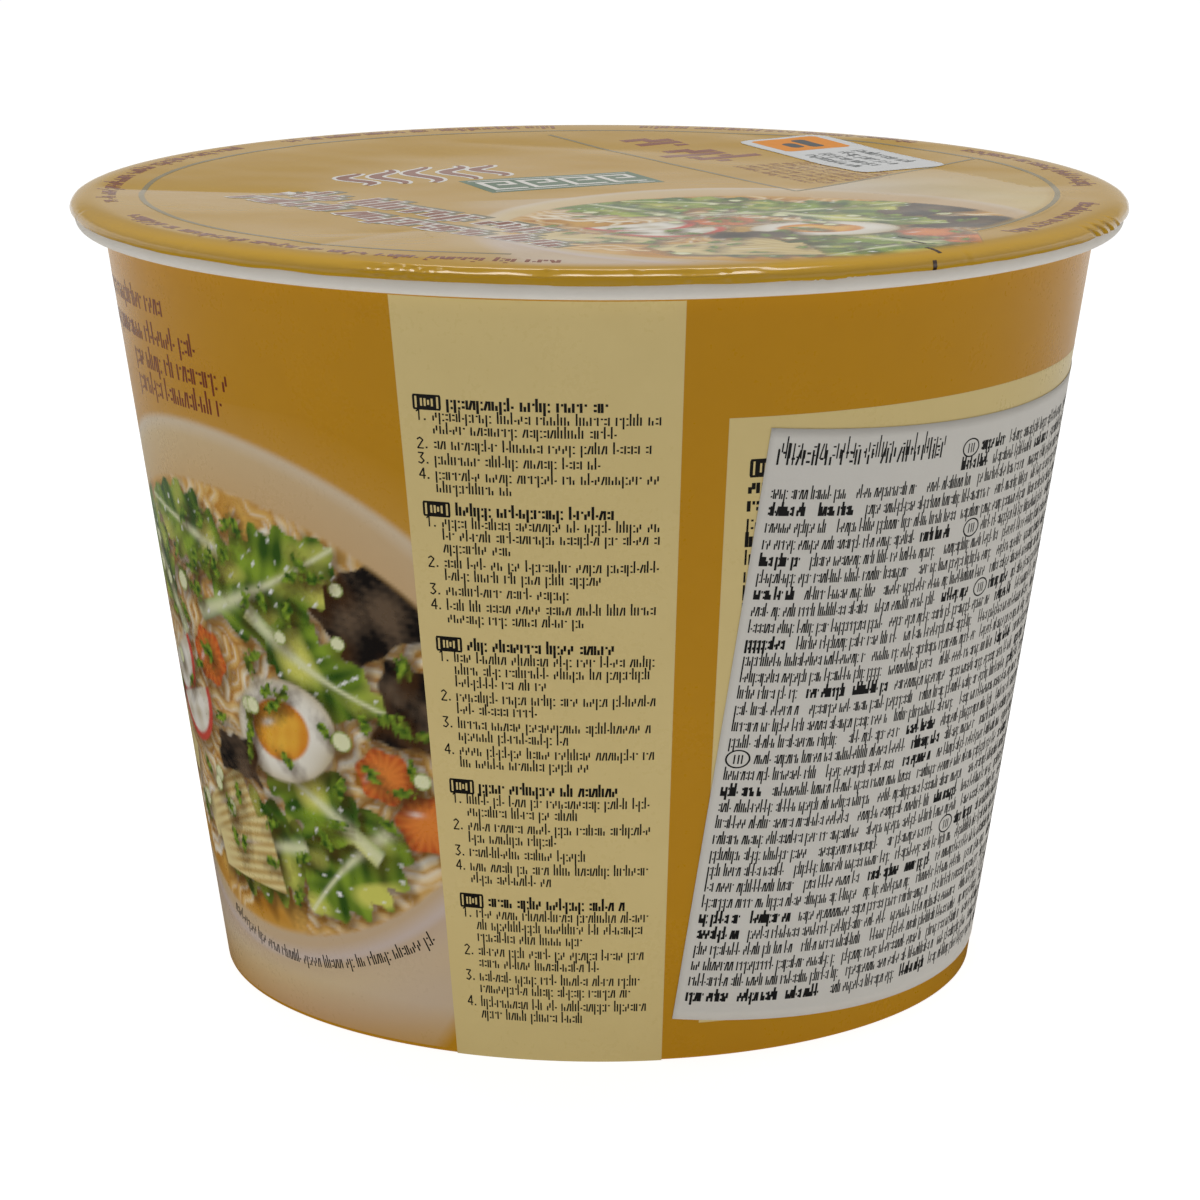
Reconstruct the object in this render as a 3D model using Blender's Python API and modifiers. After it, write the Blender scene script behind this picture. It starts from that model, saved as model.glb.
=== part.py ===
"""A shut bucket bowl of instant noodles, standing on its foot.

The bowl is paperboard: a tapered wall whose top is rolled outwards into a fat
white rim and whose foot is curled in round a recessed base disc. A laminated
peel lid is sealed over the rim and its edge is folded down over the bead.
The pack can't be seen into, so the bowl is one solid with its contents.

Metres, +Z up. The origin is the middle of the foot, on the table. The print
that faces forward faces -Y.
"""

import math

import bmesh
import bpy
from mathutils import Vector

MM = 0.001
SEGMENTS = 96            # round the axis, for every turned piece
CLEARANCE = 0.3 * MM     # kept between pieces that touch in the real pack
SHARP_ANGLE = math.radians(40.0)

# Driving sizes
LID_TOP = 112.4 * MM
LID_RADIUS = 75.2 * MM
FOOT_RADIUS = 54.7 * MM
WALL_TOP_RADIUS = 70.4 * MM
LAMINATE = 0.4 * MM      # the lid's thickness

# The rolled rim: a bead pressed nearly square
RIM_HALF_WIDTH = 2.0 * MM
RIM_HALF_HEIGHT = 1.9 * MM
SKIRT_LEAN = 0.2 * MM    # how far the lid's edge leans in under its widest line
RIM_RADIUS = LID_RADIUS - SKIRT_LEAN - LAMINATE - CLEARANCE - RIM_HALF_WIDTH
RIM_HEIGHT = LID_TOP - LAMINATE - CLEARANCE - RIM_HALF_HEIGHT
RIM_SQUARENESS = 3.0     # exponent of the superellipse, 2 would be round
RIM_STEPS = 9
RIM_FILLET = 0.9 * MM
FILLET_STEPS = 3

# The foot: the wall's lower edge, curled in round the base disc
FOOT_THICKNESS = 1.2 * MM
RECESS_DEPTH = 6.0 * MM
DISC_THICKNESS = 0.7 * MM

# The lid's folded edge
SHOULDER_WIDTH = 4.5 * MM
SHOULDER_HEIGHT = 1.8 * MM
SHOULDER_STEPS = 6
SKIRT_EDGE_HEIGHT = 110.0 * MM
SKIRT_EDGE_RADIUS = LID_RADIUS - SKIRT_LEAN

# The lid's pull tab, folded down at the back
TAB_WIDTH = 17.0 * MM
TAB_TOP = 110.9 * MM
TAB_END = 99.0 * MM
TAB_TOP_RADIUS = LID_RADIUS - SKIRT_LEAN
TAB_END_RADIUS = 73.4 * MM
TAB_STRAIGHT_PART = 0.5  # of its length, before the rounded end
TAB_END_WIDTH = 0.35     # of its width, where the rounding stops
TAB_THICKNESS = 0.3 * MM
TAB_STEPS = 8

# The paper label on the wall, centred on this spot and leaning a little
LABEL_SIZE = (112.0 * MM, 85.0 * MM)
LABEL_ANGLE = math.radians(67.4)
LABEL_HEIGHT = 45.5 * MM
LABEL_LEAN = math.radians(1.2)
LABEL_THICKNESS = 0.2 * MM
LABEL_COLUMNS = 26
LABEL_ROWS = 4

# The small sticker on the lid
STICKER_SIZE = (38.0 * MM, 15.0 * MM)
STICKER_CORNER = 2.2 * MM
STICKER_CORNER_STEPS = 4
STICKER_THICKNESS = 0.15 * MM
STICKER_PLACE = (36.5 * MM, 38.5 * MM)
STICKER_TURN = math.radians(-62.0)

WALL_TOP = RIM_HEIGHT - RIM_HALF_HEIGHT
WALL_SLOPE = math.atan2(WALL_TOP_RADIUS - FOOT_RADIUS, WALL_TOP)

# Linear base colour, roughness and metallic value of each material
FINISHES = {
    "printed_board": ((0.42, 0.24, 0.03), 0.45, 0.0),
    "base_board": ((0.72, 0.70, 0.66), 0.75, 0.0),
    "lid_laminate": ((0.48, 0.28, 0.03), 0.30, 0.0),
    "label_paper": ((0.70, 0.68, 0.66), 0.60, 0.0),
    "sticker_paper": ((0.72, 0.72, 0.72), 0.50, 0.0),
}


def clear_scene():
    for item in list(bpy.data.objects):
        bpy.data.objects.remove(item, do_unlink=True)


def new_collection(name):
    collection = bpy.data.collections.new(name)
    bpy.context.scene.collection.children.link(collection)
    return collection


def material(name):
    colour, roughness, metallic = FINISHES[name]
    result = bpy.data.materials.new(name)
    result.use_nodes = True
    shader = result.node_tree.nodes["Principled BSDF"]
    shader.inputs["Base Color"].default_value = (*colour, 1.0)
    shader.inputs["Roughness"].default_value = roughness
    shader.inputs["Metallic"].default_value = metallic
    return result


def add_object(name, data, collection, finish=None):
    result = bpy.data.objects.new(name, data)
    if finish:
        data.materials.append(material(finish))
    collection.objects.link(result)
    return result


def turned(name, profile, collection, finish):
    """Turn an outline of (radius, height) points, which runs down its outer side."""
    mesh = bpy.data.meshes.new(name)
    points = [(radius, 0.0, height) for radius, height in profile]
    edges = [(i, i + 1) for i in range(len(points) - 1)]
    mesh.from_pydata(points, edges, [])
    result = add_object(name, mesh, collection, finish)
    screw = result.modifiers.new("Turn", "SCREW")
    screw.angle = math.tau
    screw.steps = SEGMENTS
    screw.render_steps = SEGMENTS
    screw.use_merge_vertices = True
    screw.merge_threshold = 0.01 * MM
    screw.use_smooth_shade = True
    return result


def thicken(item, thickness, offset):
    solidify = item.modifiers.new("Thickness", "SOLIDIFY")
    solidify.thickness = thickness
    solidify.offset = offset
    solidify.use_even_offset = True


def superellipse(centre, half_width, half_height, squareness, start, stop, steps):
    """Points round a superellipse, from one angle to another, in degrees."""
    points = []
    for step in range(steps + 1):
        turn = math.radians(start + (stop - start) * step / steps)
        across = math.copysign(abs(math.cos(turn)) ** (2 / squareness), math.cos(turn))
        up = math.copysign(abs(math.sin(turn)) ** (2 / squareness), math.sin(turn))
        points.append((centre[0] + half_width * across, centre[1] + half_height * up))
    return points


def wall_radius(height):
    return FOOT_RADIUS + height * math.tan(WALL_SLOPE)


def rim_outline():
    """Over the bead, from its top to its underside."""
    return superellipse(
        (RIM_RADIUS, RIM_HEIGHT),
        RIM_HALF_WIDTH,
        RIM_HALF_HEIGHT,
        RIM_SQUARENESS,
        90.0,
        -90.0,
        RIM_STEPS,
    )


def fillet_outline():
    """The small hollow where the bead's underside runs into the wall."""
    middle_height = WALL_TOP - RIM_FILLET
    middle_radius = wall_radius(middle_height) + RIM_FILLET / math.cos(WALL_SLOPE)
    points = []
    for step in range(FILLET_STEPS + 1):
        turn = math.pi / 2 + (math.pi / 2 - WALL_SLOPE) * step / FILLET_STEPS
        radius = middle_radius + RIM_FILLET * math.cos(turn)
        height = middle_height + RIM_FILLET * math.sin(turn)
        points.append((radius, height))
    return points


def paper_bowl(collection):
    recess_radius = FOOT_RADIUS - FOOT_THICKNESS
    recess_top = RECESS_DEPTH + DISC_THICKNESS + CLEARANCE
    profile = [(0.0, RIM_HEIGHT + RIM_HALF_HEIGHT)]
    profile += rim_outline()
    profile += fillet_outline()
    profile += [(FOOT_RADIUS, 0.0), (recess_radius, 0.0)]
    profile += [(recess_radius, recess_top), (0.0, recess_top)]
    return turned("paper_bowl", profile, collection, "printed_board")


def base_disc(collection):
    mesh = bpy.data.meshes.new("base_disc")
    disc = bmesh.new()
    radius = FOOT_RADIUS - FOOT_THICKNESS - CLEARANCE
    bmesh.ops.create_cone(
        disc,
        cap_ends=True,
        segments=SEGMENTS,
        radius1=radius,
        radius2=radius,
        depth=DISC_THICKNESS,
    )
    disc.to_mesh(mesh)
    disc.free()
    mesh.shade_smooth()
    mesh.set_sharp_from_angle(angle=SHARP_ANGLE)
    result = add_object("base_disc", mesh, collection, "base_board")
    result.location.z = RECESS_DEPTH + DISC_THICKNESS / 2
    return result


def bent_sheet(name, columns, rows, place, collection, finish=None):
    """A flat grid whose points are moved by place(across, down), both from 0 to 1.

    Seen from outside, across runs to the right, so the faces point outwards.
    """
    mesh = bpy.data.meshes.new(name)
    sheet = bmesh.new()
    bmesh.ops.create_grid(sheet, x_segments=columns, y_segments=rows, size=0.5)
    for vertex in sheet.verts:
        vertex.co = place(vertex.co.x + 0.5, 0.5 - vertex.co.y)
    sheet.to_mesh(mesh)
    sheet.free()
    return add_object(name, mesh, collection, finish)


def tab_place(across, down):
    """Where a point of the pull tab lies, hanging off the back of the lid's edge."""
    width = TAB_WIDTH
    if down > TAB_STRAIGHT_PART:
        rounding = (down - TAB_STRAIGHT_PART) / (1.0 - TAB_STRAIGHT_PART)
        width *= TAB_END_WIDTH + (1.0 - TAB_END_WIDTH) * math.sqrt(1.0 - rounding**2)
    radius = TAB_TOP_RADIUS + (TAB_END_RADIUS - TAB_TOP_RADIUS) * down
    turn = (across - 0.5) * width / TAB_TOP_RADIUS
    height = TAB_TOP + (TAB_END - TAB_TOP) * down
    return Vector((-radius * math.sin(turn), radius * math.cos(turn), height))


def peel_lid(collection, cutters):
    shoulder_middle = (LID_RADIUS - SHOULDER_WIDTH, LID_TOP - SHOULDER_HEIGHT)
    profile = [(0.0, LID_TOP)]
    profile += superellipse(
        shoulder_middle,
        SHOULDER_WIDTH,
        SHOULDER_HEIGHT,
        RIM_SQUARENESS,
        90.0,
        0.0,
        SHOULDER_STEPS,
    )
    profile += [(SKIRT_EDGE_RADIUS, SKIRT_EDGE_HEIGHT)]
    lid = turned("peel_lid", profile, collection, "lid_laminate")
    thicken(lid, LAMINATE, -1.0)

    tab = bent_sheet("tab_guide", TAB_STEPS, TAB_STEPS, tab_place, cutters)
    thicken(tab, TAB_THICKNESS, -1.0)
    tab.hide_render = True
    tab.display_type = "WIRE"
    join = lid.modifiers.new("Pull tab", "BOOLEAN")
    join.operation = "UNION"
    join.object = tab
    return lid


def label_place(across, down):
    """Where a point of the flat label lies once it is stuck round the tapered wall.

    The wall unrolls into a flat fan about the cone's tip, which is below the foot.
    The label lies in that fan as a plain rectangle, its top leaning back, and each
    point's distance from the tip and angle in the fan give its height and its
    angle round the bowl.
    """
    tip_to_middle = wall_radius(LABEL_HEIGHT) / math.sin(WALL_SLOPE)
    flat_x = (across - 0.5) * LABEL_SIZE[0]
    flat_y = (0.5 - down) * LABEL_SIZE[1]
    fan_x = flat_x * math.cos(LABEL_LEAN) - flat_y * math.sin(LABEL_LEAN)
    fan_y = flat_x * math.sin(LABEL_LEAN) + flat_y * math.cos(LABEL_LEAN)
    fan_y += tip_to_middle
    tip_distance = math.hypot(fan_x, fan_y)
    turn = LABEL_ANGLE + math.atan2(fan_x, fan_y) / math.sin(WALL_SLOPE)
    on_wall = tip_distance * math.sin(WALL_SLOPE)
    height = (on_wall - FOOT_RADIUS) / math.tan(WALL_SLOPE)
    radius = on_wall + CLEARANCE
    return Vector((radius * math.sin(turn), -radius * math.cos(turn), height))


def side_label(collection):
    label = bent_sheet(
        "side_label", LABEL_COLUMNS, LABEL_ROWS, label_place, collection, "label_paper"
    )
    thicken(label, LABEL_THICKNESS, 1.0)
    return label


def rounded_rectangle(width, height, corner, steps):
    points = []
    for quarter in range(4):
        start = quarter * math.pi / 2
        side_x = 1 if quarter in (0, 3) else -1
        side_y = 1 if quarter in (0, 1) else -1
        for step in range(steps + 1):
            turn = start + step * math.pi / 2 / steps
            x = side_x * (width / 2 - corner) + corner * math.cos(turn)
            y = side_y * (height / 2 - corner) + corner * math.sin(turn)
            points.append((x, y))
    return points


def lid_sticker(collection):
    curve = bpy.data.curves.new("lid_sticker", "CURVE")
    curve.dimensions = "2D"
    curve.fill_mode = "BOTH"
    curve.extrude = STICKER_THICKNESS / 2
    outline = rounded_rectangle(*STICKER_SIZE, STICKER_CORNER, STICKER_CORNER_STEPS)
    spline = curve.splines.new("POLY")
    spline.points.add(len(outline) - 1)
    for point, (x, y) in zip(spline.points, outline):
        point.co = (x, y, 0.0, 1.0)
    spline.use_cyclic_u = True
    sticker = add_object("lid_sticker", curve, collection, "sticker_paper")
    height = LID_TOP + CLEARANCE + STICKER_THICKNESS / 2
    sticker.location = (*STICKER_PLACE, height)
    sticker.rotation_euler.z = STICKER_TURN
    return sticker


def build():
    clear_scene()
    parts = new_collection("noodle_bowl")
    cutters = new_collection("cutters")
    paper_bowl(parts)
    base_disc(parts)
    peel_lid(parts, cutters)
    side_label(parts)
    lid_sticker(parts)


build()
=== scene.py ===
"""The looks of a shut paper bowl of instant noodles.

The bowl is board printed in ochre, with a rolled white rim, under a lid of
printed film laminate that is folded down over the rim. The print is made
here in two ways. Panels, frames and rows of marks are thin shapes of ink, laid
on the board, on the lid and on two stuck-on labels. The marks stand where
small print would be. A plain serving picture is painted by formula on the
points of a fine mesh.
"""

import math
import random

import bmesh
import bpy
import numpy as np
from mathutils import Matrix, Vector, noise


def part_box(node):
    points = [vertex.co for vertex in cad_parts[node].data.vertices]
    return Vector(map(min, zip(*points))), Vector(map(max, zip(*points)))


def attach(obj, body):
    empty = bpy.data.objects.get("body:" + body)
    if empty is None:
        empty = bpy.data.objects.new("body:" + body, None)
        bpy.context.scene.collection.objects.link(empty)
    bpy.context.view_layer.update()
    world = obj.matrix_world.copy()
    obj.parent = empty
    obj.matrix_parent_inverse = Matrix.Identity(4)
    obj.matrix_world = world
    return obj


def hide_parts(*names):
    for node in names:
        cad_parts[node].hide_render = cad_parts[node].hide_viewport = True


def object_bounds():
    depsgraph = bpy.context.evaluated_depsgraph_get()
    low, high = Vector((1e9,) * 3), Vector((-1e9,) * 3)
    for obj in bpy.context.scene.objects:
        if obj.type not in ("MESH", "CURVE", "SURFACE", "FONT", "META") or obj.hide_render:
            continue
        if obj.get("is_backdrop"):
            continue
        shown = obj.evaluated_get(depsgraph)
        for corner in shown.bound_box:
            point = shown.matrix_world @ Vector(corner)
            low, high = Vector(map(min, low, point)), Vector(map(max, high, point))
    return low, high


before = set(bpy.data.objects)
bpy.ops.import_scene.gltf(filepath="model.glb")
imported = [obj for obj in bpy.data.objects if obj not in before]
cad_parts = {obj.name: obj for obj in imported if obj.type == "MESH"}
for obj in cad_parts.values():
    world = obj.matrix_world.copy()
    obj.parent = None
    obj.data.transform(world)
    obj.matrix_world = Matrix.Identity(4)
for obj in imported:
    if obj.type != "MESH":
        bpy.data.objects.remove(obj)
cad_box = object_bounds()

MM = 0.001

# The bowl, as in the frame
FOOT_RADIUS = 54.7 * MM
WALL_TOP_RADIUS = 70.4 * MM
RIM_BOTTOM = 107.9 * MM
RIM_HALF_WIDTH = 2.15 * MM
RIM_HALF_HEIGHT = 1.9 * MM
RIM_CENTRE = (72.3 * MM, RIM_BOTTOM + RIM_HALF_HEIGHT)
RIM_SQUARENESS = 3.0
RIM_FILLET = 0.9 * MM
WALL_TAN = (WALL_TOP_RADIUS - FOOT_RADIUS) / RIM_BOTTOM
WALL_SLOPE = math.atan(WALL_TAN)
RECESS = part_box("base_disc")[0].z
DISC_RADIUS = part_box("base_disc")[1].x
FOOT_THICKNESS = 1.0 * MM

# Round the wall, the print's widths are true at this radius
WRAP_RADIUS = (FOOT_RADIUS + WALL_TOP_RADIUS) / 2

# The side seam, where one end of the wall's board lies over the other
SEAM_TURN = math.radians(-146.0)
SEAM_STEP = 0.35 * MM
SEAM_FADE = math.radians(16.0)

# Each further layer of ink stands this much above what it is printed on
LAYER = 0.01 * MM


def colour(code):
    """Linear light from an sRGB hex value."""
    channels = [int(code[i:i + 2], 16) / 255 for i in (1, 3, 5)]
    linear = [c / 12.92 if c <= 0.04045 else ((c + 0.055) / 1.055) ** 2.4 for c in channels]
    return (*linear, 1.0)


def smooth(value):
    value = min(max(value, 0.0), 1.0)
    return value * value * (3.0 - 2.0 * value)


def hump(distance, width):
    return math.exp(-((distance / width) ** 2))


def round_point(turn, radius, height):
    """Round the bowl's axis, turned so far from the front."""
    return Vector((radius * math.sin(turn), -radius * math.cos(turn), height))


# The wall, that its print lies on


def seam_rise(turn):
    """The outer end of the board stands proud and fades into the wall."""
    past = (turn - SEAM_TURN) % math.tau
    return SEAM_STEP * (1.0 - smooth(past / SEAM_FADE))


def wall_point(x, y, lift=0.0):
    """On the wall, x round from the front and y up from the table."""
    turn = x / WRAP_RADIUS
    radius = FOOT_RADIUS + y * WALL_TAN + lift + seam_rise(turn)
    return round_point(turn, radius, y)


def at_turn(degrees):
    """The x on the wall at an angle round from the front."""
    return math.radians(degrees) * WRAP_RADIUS


# The lid's film: flat across the top, then folded down over the rim
LID_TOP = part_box("peel_lid")[1].z - 0.12 * MM
LID_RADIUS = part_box("peel_lid")[1].x - 0.1 * MM
FOLD_START = LID_RADIUS - 4.5 * MM
SKIRT_EDGE = 110.0 * MM
LAMINATE = 0.15 * MM
FOLD_STEPS = 44
FOLD_ROUNDING = 0.28 * MM


def superellipse(centre, half_width, half_height, squareness, start, stop, steps):
    """Points round a superellipse, from one angle to another, in degrees."""
    points = []
    for step in range(steps + 1):
        turn = math.radians(start + (stop - start) * step / steps)
        across = math.copysign(abs(math.cos(turn)) ** (2 / squareness), math.cos(turn))
        up = math.copysign(abs(math.sin(turn)) ** (2 / squareness), math.sin(turn))
        points.append((centre[0] + half_width * across, centre[1] + half_height * up))
    return points


def resampled(points, count):
    """The same line as count even steps."""
    points = np.array(points)
    reach = np.concatenate(([0.0], np.cumsum(np.hypot(*np.diff(points, axis=0).T))))
    spots = np.linspace(0.0, reach[-1], count + 1)
    return np.stack([np.interp(spots, reach, points[:, axis]) for axis in (0, 1)], 1), reach[-1]


def rounded_line(points, rounding, count):
    """A line whose corners are eased over a length of twice the rounding."""
    fine, length = resampled(points, 400)
    span = max(1, round(rounding / length * 400))
    padded = np.concatenate((np.repeat(fine[:1], span, 0), fine, np.repeat(fine[-1:], span, 0)))
    window = np.ones(2 * span + 1) / (2 * span + 1)
    eased = np.stack([np.convolve(padded[:, axis], window, "valid") for axis in (0, 1)], 1)
    return resampled(eased, count)[0]


SOFT_FOLD = resampled(
    superellipse((FOLD_START, LID_TOP - 1.9 * MM), 4.5 * MM, 1.9 * MM, 2.7, 90.0, 0.0, 90)
    + [(LID_RADIUS - 0.2 * MM, SKIRT_EDGE)],
    FOLD_STEPS,
)[0]
SHARP_FOLD = rounded_line(
    (
        (FOLD_START, LID_TOP),
        (LID_RADIUS - 0.95 * MM, LID_TOP - 0.22 * MM),
        (LID_RADIUS - 0.1 * MM, LID_TOP - 1.1 * MM),
        (LID_RADIUS - 0.25 * MM, SKIRT_EDGE),
    ),
    FOLD_ROUNDING / 2,
    FOLD_STEPS,
)
FOLD_LENGTH = 6.0 * MM
SHARP_FROM, SHARP_TO = math.radians(-27.0), math.radians(19.0)
SHARP_EASE = math.radians(5.0)

# Soft swells and hollows of the film: x, y, width and height, in millimetres
LID_SWELLS = (
    (45.5, 55.0, 6.0, 0.34),
    (29.0, 58.0, 8.0, 0.14),
    (37.0, 32.0, 8.0, -0.25),
    (-46.0, 4.0, 22.0, -0.50),
    (-20.0, 36.0, 16.0, -0.22),
    (-30.0, -34.0, 15.0, -0.18),
    (8.0, 22.0, 18.0, -0.15),
    (48.0, 4.0, 10.0, 0.16),
    (20.0, -44.0, 16.0, 0.12),
    (-14.0, -58.0, 9.0, 0.14),
    (-6.0, -40.0, 10.0, -0.10),
)

# Straight valleys pressed in the film: two ends, width and depth, in millimetres
LID_VALLEYS = (
    (-70.0, 0.5, -44.0, 0.8, 5.5, 0.34),
    (-38.0, -56.0, -27.0, -41.0, 2.5, 0.10),
    (-36.0, -44.0, -10.0, -34.0, 3.0, 0.08),
    (50.0, 22.0, 62.0, 2.0, 4.0, 0.16),
    (22.0, 60.0, 40.0, 44.0, 4.0, 0.12),
    (-20.0, 52.0, 14.0, 40.0, 5.0, 0.12),
)
# How softly a valley's bottom is rounded, in shares of its width
VALLEY_ROUNDING = 0.12

# The film's own waves: their heights and widths, in millimetres
LID_WAVES = ((0.15, 24.0), (0.03, 7.0))

# The film sags inside the rim, and comes up to it between these distances
LID_SAG = 0.42 * MM
SAG_FROM, SAG_TO = 34.0 * MM, 73.0 * MM


def lid_wave(x, y):
    """How far the film lies above or below a flat lid."""
    out = math.hypot(x, y)
    total = -LID_SAG * (1.0 - smooth((out - SAG_FROM) / (SAG_TO - SAG_FROM)))
    place = Vector((x, y, 0.0)) / MM
    total += sum(high * noise.noise(place / wide) for high, wide in LID_WAVES) * MM
    for swell_x, swell_y, width, height in LID_SWELLS:
        away = math.hypot(x - swell_x * MM, y - swell_y * MM)
        total += height * MM * hump(away, width * MM)
    for x0, y0, x1, y1, width, depth in LID_VALLEYS:
        first, last = Vector((x0, y0)) * MM, Vector((x1, y1)) * MM
        along = last - first
        share = min(max((Vector((x, y)) - first).dot(along) / along.length_squared, 0.0), 1.0)
        away = (Vector((x, y)) - first - along * share).length / (width * MM)
        total -= depth * MM * math.exp(-math.hypot(away, VALLEY_ROUNDING) + VALLEY_ROUNDING)
    return total


# Creases across the folded edge: degrees round, depth in millimetres, and lean
SKIRT_CREASES = (
    (-5.0, 0.20, 0.0), (3.3, 0.22, 0.1), (8.6, 0.10, -0.5), (12.5, 0.08, 0.6), (39.5, 0.12, 0.0),
    (62.5, 0.28, 1.6), (65.0, 0.32, 1.6), (67.5, 0.30, 1.6), (70.5, 0.22, 1.6),
    (-47.0, 0.08, -0.8), (-74.0, 0.14, -1.0), (101.0, 0.24, 0.7), (124.0, 0.20, -0.6),
    (150.0, 0.26, 0.5), (171.0, 0.20, -0.6), (203.0, 0.28, 0.8), (231.0, 0.22, -0.7),
    (256.0, 0.26, 0.9),
)
CREASE_WIDTH = 0.36
CREASE_REACH = 2.0

# The drop, in millimetres, at which a leaning crease crosses its place
CREASE_MIDDLE = 1.2

# Beside each crease stands a lip: its share of the depth, and degrees away
LIP_SHARE, LIP_OFFSET = 0.45, 0.75

# The folded edge bends in and out by so many millimetres, in waves so close together
PUCKER, PUCKER_PACE = 0.06, 11.0
RIPPLE, RIPPLE_PACE = 0.035, 38.0
CRUMPLE, CRUMPLE_PACE = 0.16, 120.0

# The ridge of the sharp fold, in millimetres: how proud, how far down and how wide
RIDGE, RIDGE_DROP, RIDGE_WIDTH = 0.14, 1.15, 0.17
RIDGE_WANDER, RIDGE_PACE = 0.22, 16.0

# How far the film's lower edge wanders, in millimetres, and where it is ragged
EDGE_WANDER, EDGE_PACE = 0.14, 13.0
EDGE_RAGS, RAGS_PACE = 0.35, 130.0
CRUMPLED_FROM, CRUMPLED_TO = math.radians(-25.0), math.radians(-13.0)
RAGGED_FROM, RAGGED_TO = math.radians(17.0), math.radians(31.0)


def between(value, start, stop, ease):
    return smooth((value - start) / ease) * smooth((stop - value) / ease)


def skirt_push(turn, drop):
    """How far the folded edge stands in or out at a drop below the lid's top."""
    turn = (turn + math.pi / 2) % math.tau - math.pi / 2
    circle = Vector((math.cos(turn), math.sin(turn), 0.0))
    fall = drop / MM
    push = PUCKER * noise.noise(circle * PUCKER_PACE)
    push += RIPPLE * noise.noise(circle * RIPPLE_PACE + Vector((0.0, 0.0, fall)))
    degrees = math.degrees(turn)
    for place, depth, lean in SKIRT_CREASES:
        away = degrees - place - lean * (fall - CREASE_MIDDLE)
        if abs(away) < CREASE_REACH:
            push -= depth * hump(away, CREASE_WIDTH)
            push += LIP_SHARE * depth * hump(away - LIP_OFFSET, CREASE_WIDTH)
    crumpled = between(turn, CRUMPLED_FROM, CRUMPLED_TO, 0.06)
    crumples = noise.noise(circle * CRUMPLE_PACE + Vector((0.0, 0.0, 2.2 * fall)))
    push += CRUMPLE * crumpled * crumples
    sharp = between(turn, SHARP_FROM, SHARP_TO, SHARP_EASE)
    wander = RIDGE_WANDER * noise.noise(circle * RIDGE_PACE + Vector((0.0, 3.0, 0.0)))
    push += RIDGE * sharp * hump(fall - (RIDGE_DROP + wander), RIDGE_WIDTH)
    return push * MM


def edge_rise(turn):
    """The uneven lower edge of the film."""
    circle = Vector((math.cos(turn), math.sin(turn), 0.5))
    ragged = between(turn, RAGGED_FROM, RAGGED_TO, 0.03)
    rise = EDGE_WANDER * noise.noise(circle * EDGE_PACE)
    rags = max(0.0, noise.noise(circle * RAGS_PACE))
    return (rise + EDGE_RAGS * ragged * rags) * MM


# The swells fade out from this far inside the fold, over this length
FADE_BEFORE, FADE_LENGTH = 3.0 * MM, 5.5 * MM

# The creases start to show over this drop, and the edge wanders past this share
CREASE_FADE = 0.7 * MM
EDGE_FROM = 0.8
EDGE_LENGTH = 0.2


def lid_point(x, y, lift=0.0):
    """On the lid, where the flat film's x and y end up once its edge is folded down."""
    flat = math.hypot(x, y)
    turn = math.atan2(x, -y)
    faded = smooth((flat - FOLD_START + FADE_BEFORE) / FADE_LENGTH)
    wave = lid_wave(x, y) * (1.0 - faded)
    if flat <= FOLD_START:
        return Vector((x, y, LID_TOP + wave + lift))
    share = min((flat - FOLD_START) / FOLD_LENGTH, 1.0)
    spot = share * FOLD_STEPS
    index = min(int(spot), FOLD_STEPS - 1)
    part = spot - index
    soft = SOFT_FOLD[index] * (1.0 - part) + SOFT_FOLD[index + 1] * part
    sharp = SHARP_FOLD[index] * (1.0 - part) + SHARP_FOLD[index + 1] * part
    blended = between(turn, SHARP_FROM, SHARP_TO, SHARP_EASE)
    radius, height = soft + (sharp - soft) * blended
    drop = LID_TOP - height
    outwards = smooth(share * 1.3)
    radius += skirt_push(turn, drop) * smooth(drop / CREASE_FADE) + lift * outwards
    height += edge_rise(turn) * smooth((share - EDGE_FROM) / EDGE_LENGTH)
    height += wave + lift * (1.0 - outwards)
    return round_point(turn, radius, height)


# The side label, as in the frame
LABEL_SIZE = (112.0 * MM, 85.0 * MM)
LABEL_TURN = math.radians(67.4)
LABEL_HEIGHT = 45.5 * MM
LABEL_LEAN = math.radians(1.2)
LABEL_LIFT = 0.05 * MM
LABEL_THICKNESS = 0.05 * MM
LABEL_CURL = 0.02 * MM
CURL_REACH = 1.3 * MM


def label_point(x, y, lift=0.0):
    """On the side label, x right of its left edge and y down from its top.

    The wall unrolls into a fan about the cone's tip, in which the label is a
    plain rectangle, its top leaning back. Its edges curl up a little.
    """
    tip_to_middle = (FOOT_RADIUS + LABEL_HEIGHT * WALL_TAN) / math.sin(WALL_SLOPE)
    flat_x = x - LABEL_SIZE[0] / 2
    flat_y = LABEL_SIZE[1] / 2 - y
    fan_x = flat_x * math.cos(LABEL_LEAN) - flat_y * math.sin(LABEL_LEAN)
    fan_y = flat_x * math.sin(LABEL_LEAN) + flat_y * math.cos(LABEL_LEAN) + tip_to_middle
    turn = LABEL_TURN + math.atan2(fan_x, fan_y) / math.sin(WALL_SLOPE)
    height = (math.hypot(fan_x, fan_y) * math.sin(WALL_SLOPE) - FOOT_RADIUS) / WALL_TAN
    to_edge = min(x, LABEL_SIZE[0] - x, y, LABEL_SIZE[1] - y)
    curl = LABEL_CURL * math.exp(-max(to_edge, 0.0) / CURL_REACH)
    return wall_point(turn * WRAP_RADIUS, height, LABEL_LIFT + curl + lift)


# The sticker on the lid, as in the frame
STICKER_SIZE = (38.0 * MM, 15.0 * MM)
STICKER_PLACE = Vector((36.5, 38.5)) * MM
STICKER_TURN = Matrix.Rotation(math.radians(-62.0), 2)
STICKER_LIFT = 0.08 * MM
STICKER_CORNER = 2.2 * MM


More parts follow.
